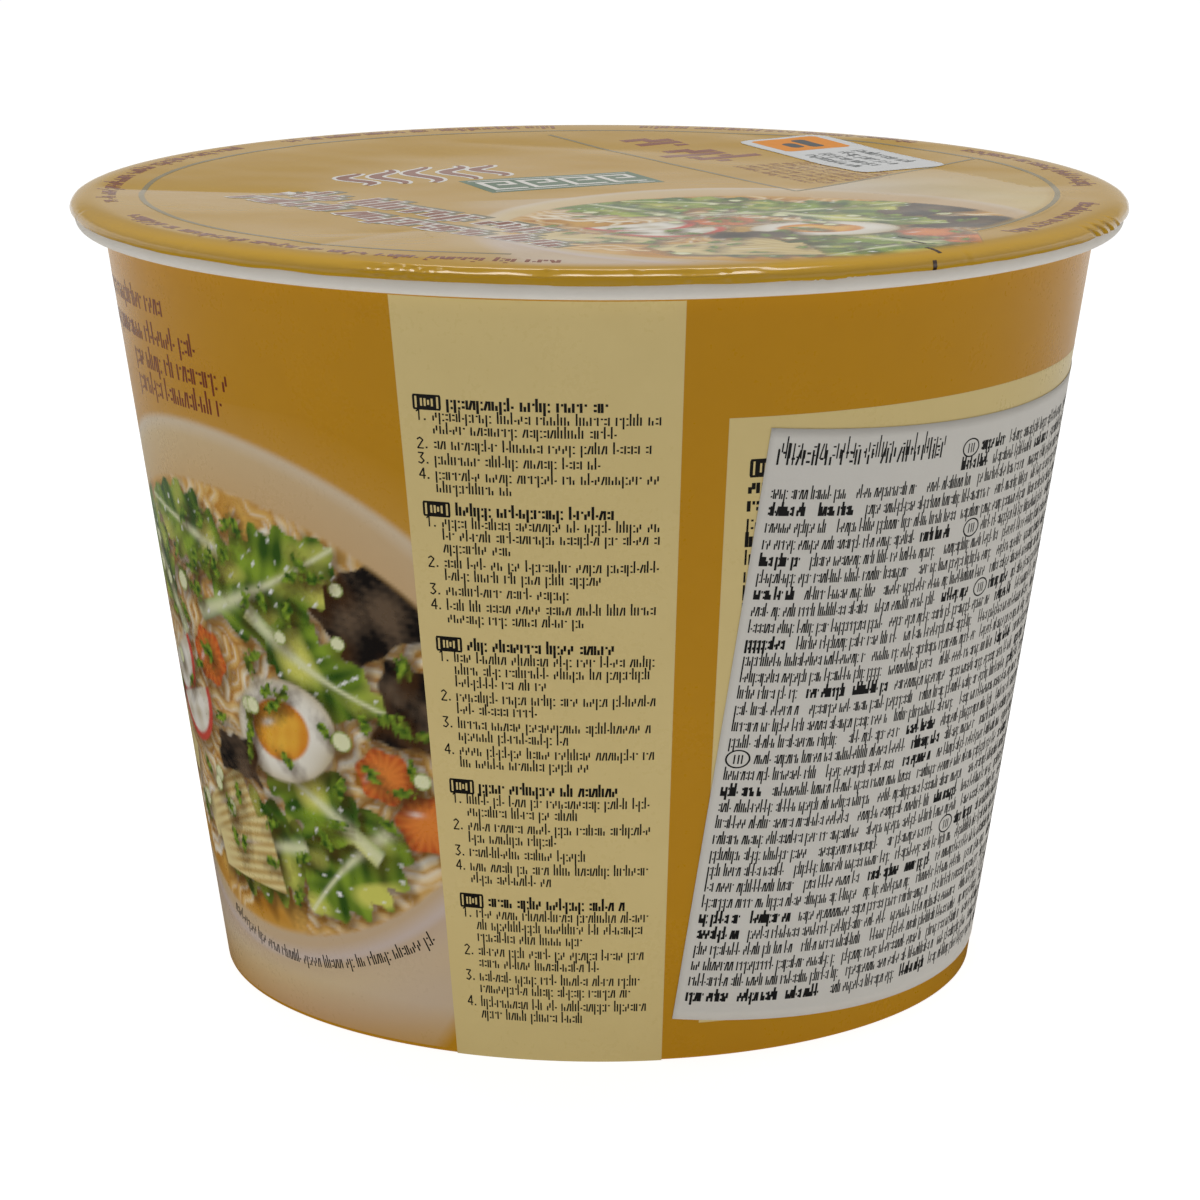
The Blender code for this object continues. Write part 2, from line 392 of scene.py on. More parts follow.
def sticker_point(x, y, lift=0.0):
    """On the lid's sticker, x and y from its middle, along and across it."""
    flat = STICKER_PLACE + STICKER_TURN @ Vector((x, y))
    return lid_point(flat.x, flat.y, STICKER_LIFT + lift)


# Mesh making


def finish_piece(name, mesh, materials, replaces=None):
    """Puts a mesh in the scene as a piece that rides on the bowl."""
    for material in materials:
        mesh.materials.append(material)
    piece = bpy.data.objects.new(name, mesh)
    bpy.context.scene.collection.objects.link(piece)
    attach(piece, "root")
    if replaces:
        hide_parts(replaces)
    return piece


def skin(name, columns, rows, place, wrap=False, pick=None):
    """A mesh of quads over place(column, row). Columns run right and rows run down."""
    across = columns if wrap else columns + 1
    points = [place(c, r) for r in range(rows + 1) for c in range(across)]
    faces = []
    picks = []
    spots = []
    for r in range(rows):
        for c in range(columns):
            right = (c + 1) % across
            top, bottom = r * across, (r + 1) * across
            faces.append((top + c, bottom + c, bottom + right, top + right))
            picks.append(pick(c, r) if pick else 0)
            for column, row in ((c, r), (c, r + 1), (c + 1, r + 1), (c + 1, r)):
                spots += (column / columns, 1.0 - row / rows)
    mesh = bpy.data.meshes.new(name)
    mesh.from_pydata(points, [], faces)
    mesh.polygons.foreach_set("material_index", picks)
    mesh.uv_layers.new(name="UVMap").uv.foreach_set("vector", spots)
    mesh.shade_smooth()
    return mesh


def welded(mesh):
    """Merges points that coincide, such as those at a disc's middle."""
    work = bmesh.new()
    work.from_mesh(mesh)
    bmesh.ops.remove_doubles(work, verts=work.verts, dist=0.001 * MM)
    work.to_mesh(mesh)
    work.free()
    return mesh


def thicken(piece, thickness, offset):
    """Gives a sheet its thickness, inwards for an offset of -1 and outwards for 1."""
    solidify = piece.modifiers.new("Thickness", "SOLIDIFY")
    solidify.thickness = thickness
    solidify.offset = offset


def surface_normals(lay, flat, points, y_down):
    """The normals of the surface under a print, so that it shades as that does."""
    step = 0.05 * MM
    normals = []
    for (x, y, lift), point in zip(flat, points):
        along = lay(x + step, y, lift) - point
        up = lay(x, y + step, lift) - point
        normal = up.cross(along) if y_down else along.cross(up)
        normals.append(normal.normalized())
    return normals


# The longest straight part of a mark, so that it follows the surface under it
STROKE_STEP = 1.3 * MM


class Print:
    """Shapes of ink, drawn flat in metres and then laid on a surface."""

    def __init__(self, lay, y_down=False):
        self.lay = lay
        self.y_down = y_down
        self.flat = []
        self.faces = []
        self.slots = []

    def add_face(self, corners, slot):
        corners = list(dict.fromkeys(corners))
        if len(corners) < 3:
            return
        area = 0.0
        for a, b in zip(corners, corners[1:] + corners[:1]):
            area += self.flat[a][0] * self.flat[b][1] - self.flat[b][0] * self.flat[a][1]
        if (area < 0.0) != self.y_down:
            corners.reverse()
        self.faces.append(corners)
        self.slots.append(slot)

    def patch(self, columns, rows, place, lift, slot=0):
        """A grid over place(u, v) = (x, y)."""
        known = {}
        grid = []
        for r in range(rows + 1):
            for c in range(columns + 1):
                x, y = place(c / columns, r / rows)
                key = (round(x, 7), round(y, 7))
                if key not in known:
                    known[key] = len(self.flat)
                    self.flat.append((x, y, lift))
                grid.append(known[key])
        for r in range(rows):
            for c in range(columns):
                first = r * (columns + 1) + c
                corners = (first, first + 1, first + columns + 2, first + columns + 1)
                self.add_face([grid[i] for i in corners], slot)

    def stroke(self, x, y, across, up, width, lift, slot=0, spare=0.0):
        """One straight mark from (x, y), as long as across and up say and spare more."""
        rise = -up if self.y_down else up
        length = math.hypot(across, rise)
        along = Vector((across, rise)) / length
        side = Vector((-along.y, along.x)) * (width / 2 + spare)
        steps = max(1, round(length / STROKE_STEP))
        first = len(self.flat)
        for step in range(steps + 1):
            reach = -spare + (length + 2 * spare) * step / steps
            middle = Vector((x, y)) + along * reach
            for edge in (middle + side, middle - side):
                self.flat.append((edge.x, edge.y, lift))
        for step in range(steps):
            left = first + 2 * step
            self.add_face((left, left + 2, left + 3, left + 1), slot)

    def make_piece(self, name, slot, *materials, replaces=None):
        """Lays the shapes on their surface and makes them a piece."""
        return finish_piece(name, self.mesh(name), materials, replaces)

    def mesh(self, name):
        points = [self.lay(x, y, lift) for x, y, lift in self.flat]
        mesh = bpy.data.meshes.new(name)
        mesh.from_pydata(points, [], self.faces)
        mesh.polygons.foreach_set("material_index", self.slots)
        mesh.shade_smooth()
        normals = surface_normals(self.lay, self.flat, points, self.y_down)
        mesh.normals_split_custom_set_from_vertices(normals)
        return mesh


# Materials


def add(tree, kind, inputs=None, **settings):
    """Adds a node with its settings. An input takes a value, or another node's output."""
    made = tree.nodes.new("ShaderNode" + kind)
    for name, value in settings.items():
        setattr(made, name, value)
    for name, value in (inputs or {}).items():
        if isinstance(value, bpy.types.NodeSocket):
            tree.links.new(value, made.inputs[name])
        else:
            made.inputs[name].default_value = value
    return made


# The gloss follows two noises, the grain and a wider one: their paces and details
GRAIN_NOISES = ((1.0, 3.0), (0.08, 2.0))


def add_grain(tree, shader, place, rough, grain, relief):
    """Lets the roughness and the height follow the surface's grain."""
    fine, wide = (
        add(tree, "TexNoise", {"Vector": place, "Scale": pace / grain, "Detail": detail}).outputs[0]
        for pace, detail in GRAIN_NOISES
    )
    both = add(tree, "Math", {0: fine, 1: wide}, operation="ADD").outputs[0]
    limits = {"From Min": 0.6, "From Max": 1.4, "To Min": rough[0], "To Max": rough[1]}
    roughness = add(tree, "MapRange", {"Value": both, **limits}).outputs[0]
    bump = add(tree, "Bump", {"Height": fine, "Distance": relief, "Strength": 1.0}).outputs[0]
    tree.links.new(roughness, shader.inputs["Roughness"])
    tree.links.new(bump, shader.inputs["Normal"])


def add_inks(tree, place, base, mottle, painted):
    """Two colours in soft patches. What is painted on the mesh covers them."""
    inputs = {"Vector": place, "Scale": 1.0 / mottle[1], "Detail": 4.0, "Roughness": 0.6}
    patches = add(tree, "TexNoise", inputs).outputs[0]
    inputs = {"Factor": patches, "A": colour(base), "B": colour(mottle[0])}
    inks = add(tree, "Mix", inputs, data_type="RGBA").outputs["Result"]
    if painted:
        picture = add(tree, "VertexColor", layer_name="paint").outputs
        inputs = {"Factor": picture["Alpha"], "A": inks, "B": picture["Color"]}
        inks = add(tree, "Mix", inputs, data_type="RGBA").outputs["Result"]
    return inks


def finish(name, base, rough, grain, relief, sockets, mottle=None, painted=False):
    """A printed or plain paper finish.

    base is the colour, rough the least and most roughness, grain the size of
    the surface's grain and relief its height, in metres. mottle is a second
    colour and the size of the patches in which it shows. sockets are further
    values of the shader. What is painted on the mesh covers the rest.
    """
    material = bpy.data.materials.new(name)
    material.use_nodes = True
    tree = material.node_tree
    shader = tree.nodes["Principled BSDF"]
    place = add(tree, "TexCoord").outputs["Object"]
    add_grain(tree, shader, place, rough, grain, relief)
    shader.inputs["Base Color"].default_value = colour(base)
    if mottle:
        inks = add_inks(tree, place, base, mottle, painted)
        tree.links.new(inks, shader.inputs["Base Color"])
    for socket, value in sockets.items():
        shader.inputs[socket].default_value = value
    return material


# Offset ink under a water-based satin varnish on coated board: even colour, a soft
# sheen that whitens towards the edges, and the faintest orange-peel of the board.
VARNISH = {"rough": (0.25, 0.33), "grain": 0.7 * MM, "relief": 0.0035 * MM}
VARNISH_SOCKETS = {"IOR": 1.5, "Specular IOR Level": 0.27}

# Reverse-printed polyester film laminated to paper: a smooth gloss over the ink,
# so the lid mirrors the room softly at low angles.
FILM = {"rough": (0.10, 0.16), "grain": 2.2 * MM, "relief": 0.003 * MM}
FILM_SOCKETS = {"IOR": 1.5, "Specular IOR Level": 0.5}

# Uncoated white board and label paper: matt, with a fine felt of fibres.
PAPER = {"rough": (0.58, 0.74), "grain": 0.35 * MM, "relief": 0.012 * MM}
PAPER_SOCKETS = {"IOR": 1.45, "Specular IOR Level": 0.35}


def varnished(name, base, **more):
    return finish(name, base, sockets=VARNISH_SOCKETS, **VARNISH, **more)


def filmed(name, base, **more):
    return finish(name, base, sockets=FILM_SOCKETS, **FILM, **more)


def papery(name, base, **more):
    return finish(name, base, sockets=PAPER_SOCKETS, **PAPER, **more)


OCHRE = "#d0960c"
OCHRE_MOTTLE = ("#ca9006", 9.0 * MM)
LID_OCHRE = "#cb9f24"
LID_OCHRE_MOTTLE = ("#c6981c", 11.0 * MM)

board_ochre = varnished("ochre_ink_on_board", OCHRE, mottle=OCHRE_MOTTLE)
board_cream = varnished("cream_ink_on_board", "#ead494", mottle=("#e4cd8c", 7.0 * MM))
board_black = varnished("black_ink_on_board", "#1d1a16")
board_brown = varnished("brown_ink_on_board", "#7a2a08")
board_picture = varnished("picture_inks_on_board", OCHRE, mottle=OCHRE_MOTTLE, painted=True)
white_board = papery("white_uncoated_board", "#f0ece4", mottle=("#e8e3da", 3.0 * MM))
lid_ochre = filmed("ochre_ink_under_film", LID_OCHRE, mottle=LID_OCHRE_MOTTLE)
lid_picture = filmed(
    "picture_inks_under_film", LID_OCHRE, mottle=LID_OCHRE_MOTTLE, painted=True
)
lid_grey = filmed("grey_ink_under_film", "#857c5c")
lid_line = filmed("grey_brown_ink_under_film", "#93845a")
lid_brown = filmed("brown_ink_under_film", "#8e4526")
lid_white = filmed("white_ink_under_film", "#f0ede6")
lid_green = filmed("green_ink_under_film", "#3f6a48")
lid_dark = filmed("dark_ink_under_film", "#3a2413")
label_white = papery("label_paper", "#e4e1da", mottle=("#dedbd4", 4.0 * MM))
label_black = papery("black_ink_on_label", "#191818")
sticker_white = papery("sticker_paper", "#d0d1d1", mottle=("#c9caca", 3.0 * MM))
sticker_orange = papery("orange_ink_on_sticker", "#d98f45")
sticker_dark = papery("dark_ink_on_sticker", "#5c5f60")
base_board = papery("grey_white_base_board", "#d9d6cd", mottle=("#cfcbc0", 2.5 * MM))


# The bowl's board


BOARD_COLUMNS = 720
WALL_ROWS = 24
FOOT_CURL = 0.5 * MM

# Rows of the hollow under the rim that are still white, and of the foot's curl
# that are still printed
HOLLOW_WHITE, FOOT_PRINTED = 5, 7


def arc(centre, radius, start, stop, steps):
    return superellipse(centre, radius, radius, 2.0, start, stop, steps)


def board_outline():
    """The board's section, from inside the rim down the wall and round the foot.

    It comes with the row where the rim's white ends and the one where the foot's starts.
    """
    rim = superellipse(
        RIM_CENTRE, RIM_HALF_WIDTH, RIM_HALF_HEIGHT, RIM_SQUARENESS, 150.0, -90.0, 30
    )
    hollow_height = RIM_BOTTOM - RIM_FILLET
    hollow_radius = FOOT_RADIUS + hollow_height * WALL_TAN + RIM_FILLET / math.cos(WALL_SLOPE)
    wall_side = 180.0 - math.degrees(WALL_SLOPE)
    hollow = arc((hollow_radius, hollow_height), RIM_FILLET, 90.0, wall_side, 8)
    curl = FOOT_CURL
    foot = arc((FOOT_RADIUS - curl + curl * WALL_TAN, curl), curl, 0.0, -180.0, 10)
    top = hollow[-1][1]
    wall = []
    for step in range(1, WALL_ROWS):
        height = top + (curl - top) * step / WALL_ROWS
        wall.append((FOOT_RADIUS + height * WALL_TAN, height))
    inner = FOOT_RADIUS - FOOT_THICKNESS
    inside = [(inner, RECESS * share) for share in (0.3, 0.6, 1.0)]
    foot_row = len(rim) + len(hollow) + len(wall)
    outline = rim + hollow + wall + foot + inside
    return outline, len(rim) + HOLLOW_WHITE, foot_row + FOOT_PRINTED


def bowl_board():
    """The wall with its rolled rim and its foot, curled in round the base."""
    outline, white_rows, white_from = board_outline()

    def place(column, row):
        radius, height = outline[row]
        turn = math.tau * column / BOARD_COLUMNS
        on_wall = smooth((RIM_BOTTOM - height) / (1.5 * MM)) * (row < white_from)
        radius += seam_rise(turn) * on_wall
        return round_point(turn, radius, height)

    def pick(column, row):
        return 1 if row < white_rows or row >= white_from else 0

    rows = len(outline) - 1
    mesh = skin("bowl_board", BOARD_COLUMNS, rows, place, wrap=True, pick=pick)
    inks = (board_ochre, white_board)
    finish_piece("bowl_board", mesh, inks, "paper_bowl")


DISC_COLUMNS, DISC_ROWS = 192, 30
DISC_DISH = 0.4 * MM
DISC_THICKNESS = 0.5 * MM

# The pressed ring: its height, its place as a share of the radius, and its width
RING_HEIGHT, RING_PLACE, RING_WIDTH = 0.2 * MM, 0.82, 1.6 * MM


def base_disc():
    """The board disc in the foot: a shallow dish with a pressed ring."""

    def place(column, row):
        share = row / DISC_ROWS
        turn = -math.tau * column / DISC_COLUMNS
        radius = DISC_RADIUS * share
        dish = DISC_DISH * (1.0 - share * share)
        ring = RING_HEIGHT * hump(radius - RING_PLACE * DISC_RADIUS, RING_WIDTH)
        height = RECESS + dish + ring
        return round_point(turn, radius, height)

    mesh = welded(skin("base_board_disc", DISC_COLUMNS, DISC_ROWS, place, wrap=True))
    disc = finish_piece("base_board_disc", mesh, (base_board,), "base_disc")
    thicken(disc, DISC_THICKNESS, -1.0)


# The lid and its pull tab
LID_COLUMNS = 900
LID_ROWS = 52

# Inside the film's edge, its other face goes back up by so many rows
HEM_ROWS = 3
HEM_PITCH = 0.5 * MM

# The creased part, and how many of the columns it takes
FINE_FROM, FINE_TO, FINE_COLUMNS = math.radians(-30.0), math.radians(75.0), 420


def lid_turn(column):
    """The lid's columns stand closer where the film is creased."""
    if column < FINE_COLUMNS:
        return FINE_FROM + (FINE_TO - FINE_FROM) * column / FINE_COLUMNS
    rest = (column - FINE_COLUMNS) / (LID_COLUMNS - FINE_COLUMNS)
    return FINE_TO + (math.tau - FINE_TO + FINE_FROM) * rest


def peel_lid():
    """The film, its edge folded down over the rim and a little way back up inside."""
    flats = [FOLD_START * row / LID_ROWS for row in range(LID_ROWS)]
    flats += [FOLD_START + FOLD_LENGTH * row / FOLD_STEPS for row in range(FOLD_STEPS + 1)]
    last = len(flats) - 1

    def place(column, row):
        turn = lid_turn(column)
        flat = flats[min(row, last)]
        point = lid_point(flat * math.sin(turn), -flat * math.cos(turn))
        if row > last:
            point -= Vector((math.sin(turn), -math.cos(turn), 0.0)) * LAMINATE
            point.z += (row - last - 1) * HEM_PITCH
        return point

    rows = last + HEM_ROWS
    mesh = welded(skin("peel_lid_film", LID_COLUMNS, rows, place, wrap=True))
    finish_piece("peel_lid_film", mesh, (lid_ochre,), "peel_lid")


TAB_HALF_WIDTH = 8.3 * MM
TAB_TOP, TAB_DROP = SKIRT_EDGE + 0.7 * MM, 11.0 * MM
TAB_RADIUS = LID_RADIUS - 0.25 * MM

# How far its end leans in, and its sides stand out from its middle
TAB_LEAN, TAB_CUP = 1.5 * MM, 0.25 * MM

# Where its rounding starts, and how long that is, in shares of the tab's length
TAB_ROUND_FROM, TAB_ROUND_LENGTH = 0.45, 0.56
TAB_COLUMNS, TAB_ROWS = 30, 40


def pull_tab():
    """The lid's tab, folded down at the back, its end standing off the wall a little."""

    def place(column, row):
        down = row / TAB_ROWS
        width = TAB_HALF_WIDTH
        if down > TAB_ROUND_FROM:
            rounding = (down - TAB_ROUND_FROM) / TAB_ROUND_LENGTH
            width *= math.sqrt(max(0.0, 1.0 - rounding ** 2))
        across = 2.0 * column / TAB_COLUMNS - 1.0
        turn = math.pi + across * width / LID_RADIUS
        radius = TAB_RADIUS - TAB_LEAN * math.sin(down * math.pi / 2)
        radius += TAB_CUP * across * across * down
        height = TAB_TOP - TAB_DROP * down
        return round_point(turn, radius, height)

    mesh = skin("pull_tab", TAB_COLUMNS, TAB_ROWS, place)
    tab = finish_piece("pull_tab", mesh, (lid_ochre,))
    thicken(tab, LAMINATE, -1.0)


# The serving picture, painted by formula in millimetres from the bowl's middle


def paint(code):
    return np.array(colour(code)[:3])


def mixed(first, second, share):
    share = np.clip(share, 0.0, 1.0)[..., None]
    return first * (1.0 - share) + second * share


def cloud(x, y, size, seed):
    """Soft noise of about -1 to 1, whose patches have this size."""
    chance = random.Random(seed)
    total = 0.0
    for _ in range(7):
        turn = chance.uniform(0.0, math.tau)
        pace = chance.uniform(0.6, 1.5) * math.pi / size
        total = total + np.sin(
            (x * math.cos(turn) + y * math.sin(turn)) * pace + chance.uniform(0.0, math.tau)
        )
    return total / 2.6


CHINA, CHINA_PINK = paint("#e2d0b6"), paint("#d9cac6")
CHINA_SHADE, CHINA_GOLD = paint("#cdb093"), paint("#dcae62")
CHINA_CREAM = paint("#e4cd9d")
BROTH, BROTH_LIGHT = paint("#c8871a"), paint("#e6b452")
DEEP, GAP = paint("#4f2f0c"), paint("#a3631a")
NOODLES = (
    (paint("#fae8bd"), paint("#dda64b")),
    (paint("#f3d593"), paint("#d29433")),
    (paint("#fff5da"), paint("#e6bb6a")),
    (paint("#ecc373"), paint("#c98a2c")),
)
WHITE = paint("#ffffff")
EGG_WHITE, EGG_SHADE = paint("#fbf7ec"), paint("#cdbf9f")
YOLK, YOLK_LIGHT = paint("#e58a12"), paint("#f8bf3c")
SEAWEED, SEAWEED_LIGHT = paint("#1a1411"), paint("#6c5844")
LEAF, LEAF_LIGHT, LEAF_PALE = paint("#33590f"), paint("#8fad2c"), paint("#dddc66")
STEM = paint("#eef0c4")
CARROT, CARROT_LIGHT = paint("#c4430e"), paint("#f08c34")
PINK = paint("#d9503e")
BAMBOO, BAMBOO_SHADE = paint("#f0dfa0"), paint("#c29a4a")


# Further than any strand is from a point of the grid
FAR = 99.0


class Picture:
    """A grid of points with paint, and how far the paint covers what is under it."""

    def __init__(self, left, bottom, right, top, pitch):
        self.left, self.bottom, self.pitch = left, bottom, pitch
        columns, rows = round((right - left) / pitch), round((top - bottom) / pitch)
        across = np.linspace(left, right, columns + 1)
        up = np.linspace(bottom, top, rows + 1)
        self.x, self.y = np.meshgrid(across, up)
        self.paint = np.zeros((*self.x.shape, 3))
        self.cover = np.zeros(self.x.shape)
        self.away = np.full(self.x.shape, FAR)
        self.side = np.zeros(self.x.shape)
        self.clip = np.ones(self.x.shape)

    def near(self, xs, ys, spare):
        """The part of the grid round some points."""
        columns = [(value - self.left) / self.pitch for value in (min(xs) - spare, max(xs) + spare)]
        rows = [(value - self.bottom) / self.pitch for value in (min(ys) - spare, max(ys) + spare)]
        first_row, first_column = max(0, int(rows[0])), max(0, int(columns[0]))
        return (
            slice(first_row, max(first_row, int(rows[1]) + 2)),
            slice(first_column, max(first_column, int(columns[1]) + 2)),
        )

    def lay(self, part, inside, paint, soft=0.4, strength=1.0):
        """Lays paint where inside, the depth within a shape's edge, is above nothing."""
        share = np.clip(inside / soft + 0.5, 0.0, 1.0) * strength * self.clip[part]
        self.paint[part] = self.paint[part] * (1.0 - share[..., None]) + paint * share[..., None]
        self.cover[part] = self.cover[part] * (1.0 - share) + share


EVERYWHERE = (slice(None), slice(None))


def strand(picture, path, half, tones):
    """One noodle, light along its middle, with a soft shadow round it."""
    xs, ys = [p[0] for p in path], [p[1] for p in path]
    whole = picture.near(xs, ys, 3.0)
    for (x0, y0), (x1, y1) in zip(path, path[1:]):
        part = picture.near((x0, x1), (y0, y1), 2.4)
        across, up = x1 - x0, y1 - y0
        length = math.hypot(across, up) or 1.0
        x, y = picture.x[part] - x0, picture.y[part] - y0
        share = np.clip((x * across + y * up) / length ** 2, 0.0, 1.0)
        away = np.hypot(x - across * share, y - up * share)
        closer = away < picture.away[part]
        picture.away[part] = np.where(closer, away, picture.away[part])
        side = (across * y - up * x) / length
        picture.side[part] = np.where(closer, side, picture.side[part])
    away, side = picture.away[whole], picture.side[whole] / half
    middle, edge = tones
    picture.lay(whole, half + 0.35 - away, GAP, soft=1.3, strength=0.45)
    body = mixed(middle, edge, (away / half) ** 2 * 0.9 + 0.12 * np.sign(-side))
    shine = np.exp(-(((side - 0.3) / 0.22) ** 2)) * 0.45
    picture.lay(whole, half - away, mixed(body, WHITE, shine), soft=0.35)
    picture.away[whole] = FAR


# A noodle's points stand this far apart, the noodles of a bundle lie this far
# apart, and each crinkles at this pace, in millimetres and radians a point
NOODLE_STEP, NOODLE_PITCH, NOODLE_PACE = 0.9, 2.1, 0.92


def noodle_bundle(picture, chance, reach, squash, scale):
    """A few crinkled noodles side by side."""
    turn = chance.uniform(0.0, math.tau)
    out = reach * math.sqrt(chance.random())
    x, y = out * math.cos(turn), out * math.sin(turn)
    heading = chance.uniform(0.0, math.tau)
    bend = chance.uniform(-0.045, 0.045)
    phase = chance.uniform(0.0, math.tau)
    count = chance.randint(3, 6)
    tones = chance.choice(NOODLES)
    steps = chance.randint(26, 52)
    guide = []
    for _ in range(steps):
        heading += bend
        x += NOODLE_STEP * scale * math.cos(heading)
        y += NOODLE_STEP * scale * math.sin(heading)
        guide.append((x, y, heading))
    for number in range(count):
        offset = (number - count / 2) * NOODLE_PITCH * scale + chance.uniform(-0.4, 0.4) * scale
        swing = chance.uniform(0.55, 0.85) * scale
        lag = chance.uniform(-0.5, 0.5)
        skip = chance.randint(0, 6)
        path = []
        for step, (x, y, heading) in enumerate(guide[skip:]):
            off = offset + swing * math.sin(phase + lag + step * NOODLE_PACE)
            path.append((x - off * math.sin(heading), (y + off * math.cos(heading)) * squash))
        half = chance.uniform(0.78, 0.95) * scale
        strand(picture, path, half, chance.choice((tones, tones, chance.choice(NOODLES))))


# A topping's shadow falls this far right and down, in millimetres
SHADOW_RIGHT, SHADOW_DOWN = 0.7, 0.9


def stamp(picture, x, y, turn, reach, shape, scale, squash=0.86):
    """Paints a topping given in its own u and v, over a soft shadow."""
    part = picture.near((x - reach, x + reach), (y - reach, y + reach), 2.0)
    across, up = (picture.x[part] - x) / scale, (picture.y[part] - y) / scale / squash
    cos, sin = math.cos(turn), math.sin(turn)
    right, low = across - SHADOW_RIGHT, up + SHADOW_DOWN
    inside, _ = shape(right * cos + low * sin, low * cos - right * sin)
    picture.lay(part, inside + 0.7, DEEP, soft=2.6, strength=0.62)
    inside, tones = shape(across * cos + up * sin, up * cos - across * sin)
    picture.lay(part, inside, tones, soft=0.35)


def gleam(u, v, at_u, at_v, wide, high):
    return np.exp(-(((u - at_u) / wide) ** 2) - ((v - at_v) / high) ** 2)


def egg(u, v):
    out = np.hypot(u / 9.5, v / 7.6)
    white = mixed(EGG_WHITE, EGG_SHADE, out ** 6 + 0.25 * gleam(u, v, 5.0, -4.5, 4.0, 2.0))
    yolk_out = np.hypot((u + 0.5) / 5.5, (v - 0.2) / 4.6)
    yolk = mixed(YOLK_LIGHT, YOLK, yolk_out ** 2 + 0.15 * cloud(u, v, 1.6, 4))
    tones = mixed(white, yolk, (1.0 - yolk_out) * 9.0 + 0.5)
    return (1.0 - out) * 7.6, mixed(tones, WHITE, 0.8 * gleam(u, v, -2.2, 1.7, 1.2, 0.5))


def seaweed(width, height, seed):
    def shape(u, v):
        inside = np.minimum(width / 2 - abs(u), height / 2 - abs(v)) + 0.45 * cloud(u, v, 2.4, seed)
        sheen = 0.2 + 0.3 * cloud(u, v, 4.0, seed + 1) + 0.14 * cloud(u, v, 0.8, seed + 2)
        sheen = sheen + 0.5 * gleam(u, 0.5 * v, width * 0.1, 0.0, 1.8, 9.0)
        return inside, mixed(SEAWEED, SEAWEED_LIGHT, sheen)

    return shape


def leaf(length, width, seed, stem=0.24):
    def shape(u, v):
        share = u / length + 0.5
        v = v + 1.2 * np.sin(share * 3.0)
        swell = np.clip((share - stem * 0.7) / (1.0 - stem * 0.7), 0.0, 1.0)
        half = width / 2 * np.sin(math.pi * swell ** 0.8) ** 0.7
        half = half * (1.0 + 0.16 * np.sin(u * 1.5 + seed)) + 0.3 * cloud(u, v, 1.3, seed)
        half = np.maximum(half, 1.5 - 1.2 * share)
        inside = np.minimum(half - abs(v), (0.5 - abs(share - 0.5)) * length)
        vein = np.cos(u * 1.9 - abs(v) * 1.5 + seed)
        tone = 0.42 + 0.2 * vein + 0.32 * cloud(u, v, 3.6, seed + 1) + 0.14 * np.sign(v)
        tones = mixed(LEAF, LEAF_LIGHT, tone)
        tones = mixed(tones, LEAF_PALE, 0.75 * cloud(u, v, 5.0, seed + 2) - 0.1)
        rib = np.exp(-((v / (0.35 + 1.6 * np.clip(0.7 - share, 0.0, 1.0))) ** 2))
        tones = mixed(tones, STEM, 0.85 * rib)
        return inside, mixed(tones, WHITE, 1.2 * cloud(u, v, 0.9, seed + 3) - 1.4)

    return shape


def onion_ring(radius):
    def shape(u, v):
        out = np.hypot(u, v) / radius
        tones = mixed(LEAF_PALE, STEM, 2.4 - 3.0 * abs(out - 0.6))
        return (1.0 - out) * radius, mixed(tones, LEAF_LIGHT, (out - 0.8) * 5.0)

    return shape


def herb(seed):
    def shape(u, v):
        inside = 1.1 - np.hypot(u * 0.62, v * 1.3) + 0.35 * cloud(u, v, 0.7, seed)
        return inside, mixed(LEAF, LEAF_LIGHT, 0.5 + 0.5 * cloud(u, v, 0.9, seed + 1))

    return shape


def carrot(radius):
    def shape(u, v):
        turn = np.arctan2(v, u)
        out = np.hypot(u, v) / (1.0 + 0.08 * np.cos(6.0 * turn))
        tone = (out / radius) ** 2 * 0.7 + 0.25 * np.cos(18.0 * turn) * (out / radius)
        tones = mixed(CARROT_LIGHT, CARROT, tone)
        return radius - out, mixed(tones, WHITE, 0.6 * gleam(u, v, -1.6, 1.4, 1.0, 0.4))

    return shape


def fish_cake(u, v):
    out = np.hypot(u, v - 3.4)
    inside = np.minimum(7.6 - out, 3.4 - v)
    tones = mixed(EGG_WHITE, EGG_SHADE, 0.3 + 0.3 * cloud(u, v, 2.0, 31))
    return inside, mixed(tones, PINK, (out - 6.4) * 2.0 + 0.5)


def bamboo(u, v):
    half = 4.3 * (0.62 + 0.045 * (u + 8.0))
    inside = np.minimum(half - abs(v), 8.5 - abs(u))
    rib = 0.5 + 0.5 * np.cos(v * 4.4)
    tones = mixed(BAMBOO, BAMBOO_SHADE, 0.8 * rib * np.clip((u + 8.0) / 5.0, 0.0, 1.0))
    return inside, mixed(tones, WHITE, 0.5 * gleam(u, v, 1.0, 1.6, 3.0, 0.3))


# Half the width and height of the food for which the toppings were laid out
LAYOUT = (43.0, 26.0)
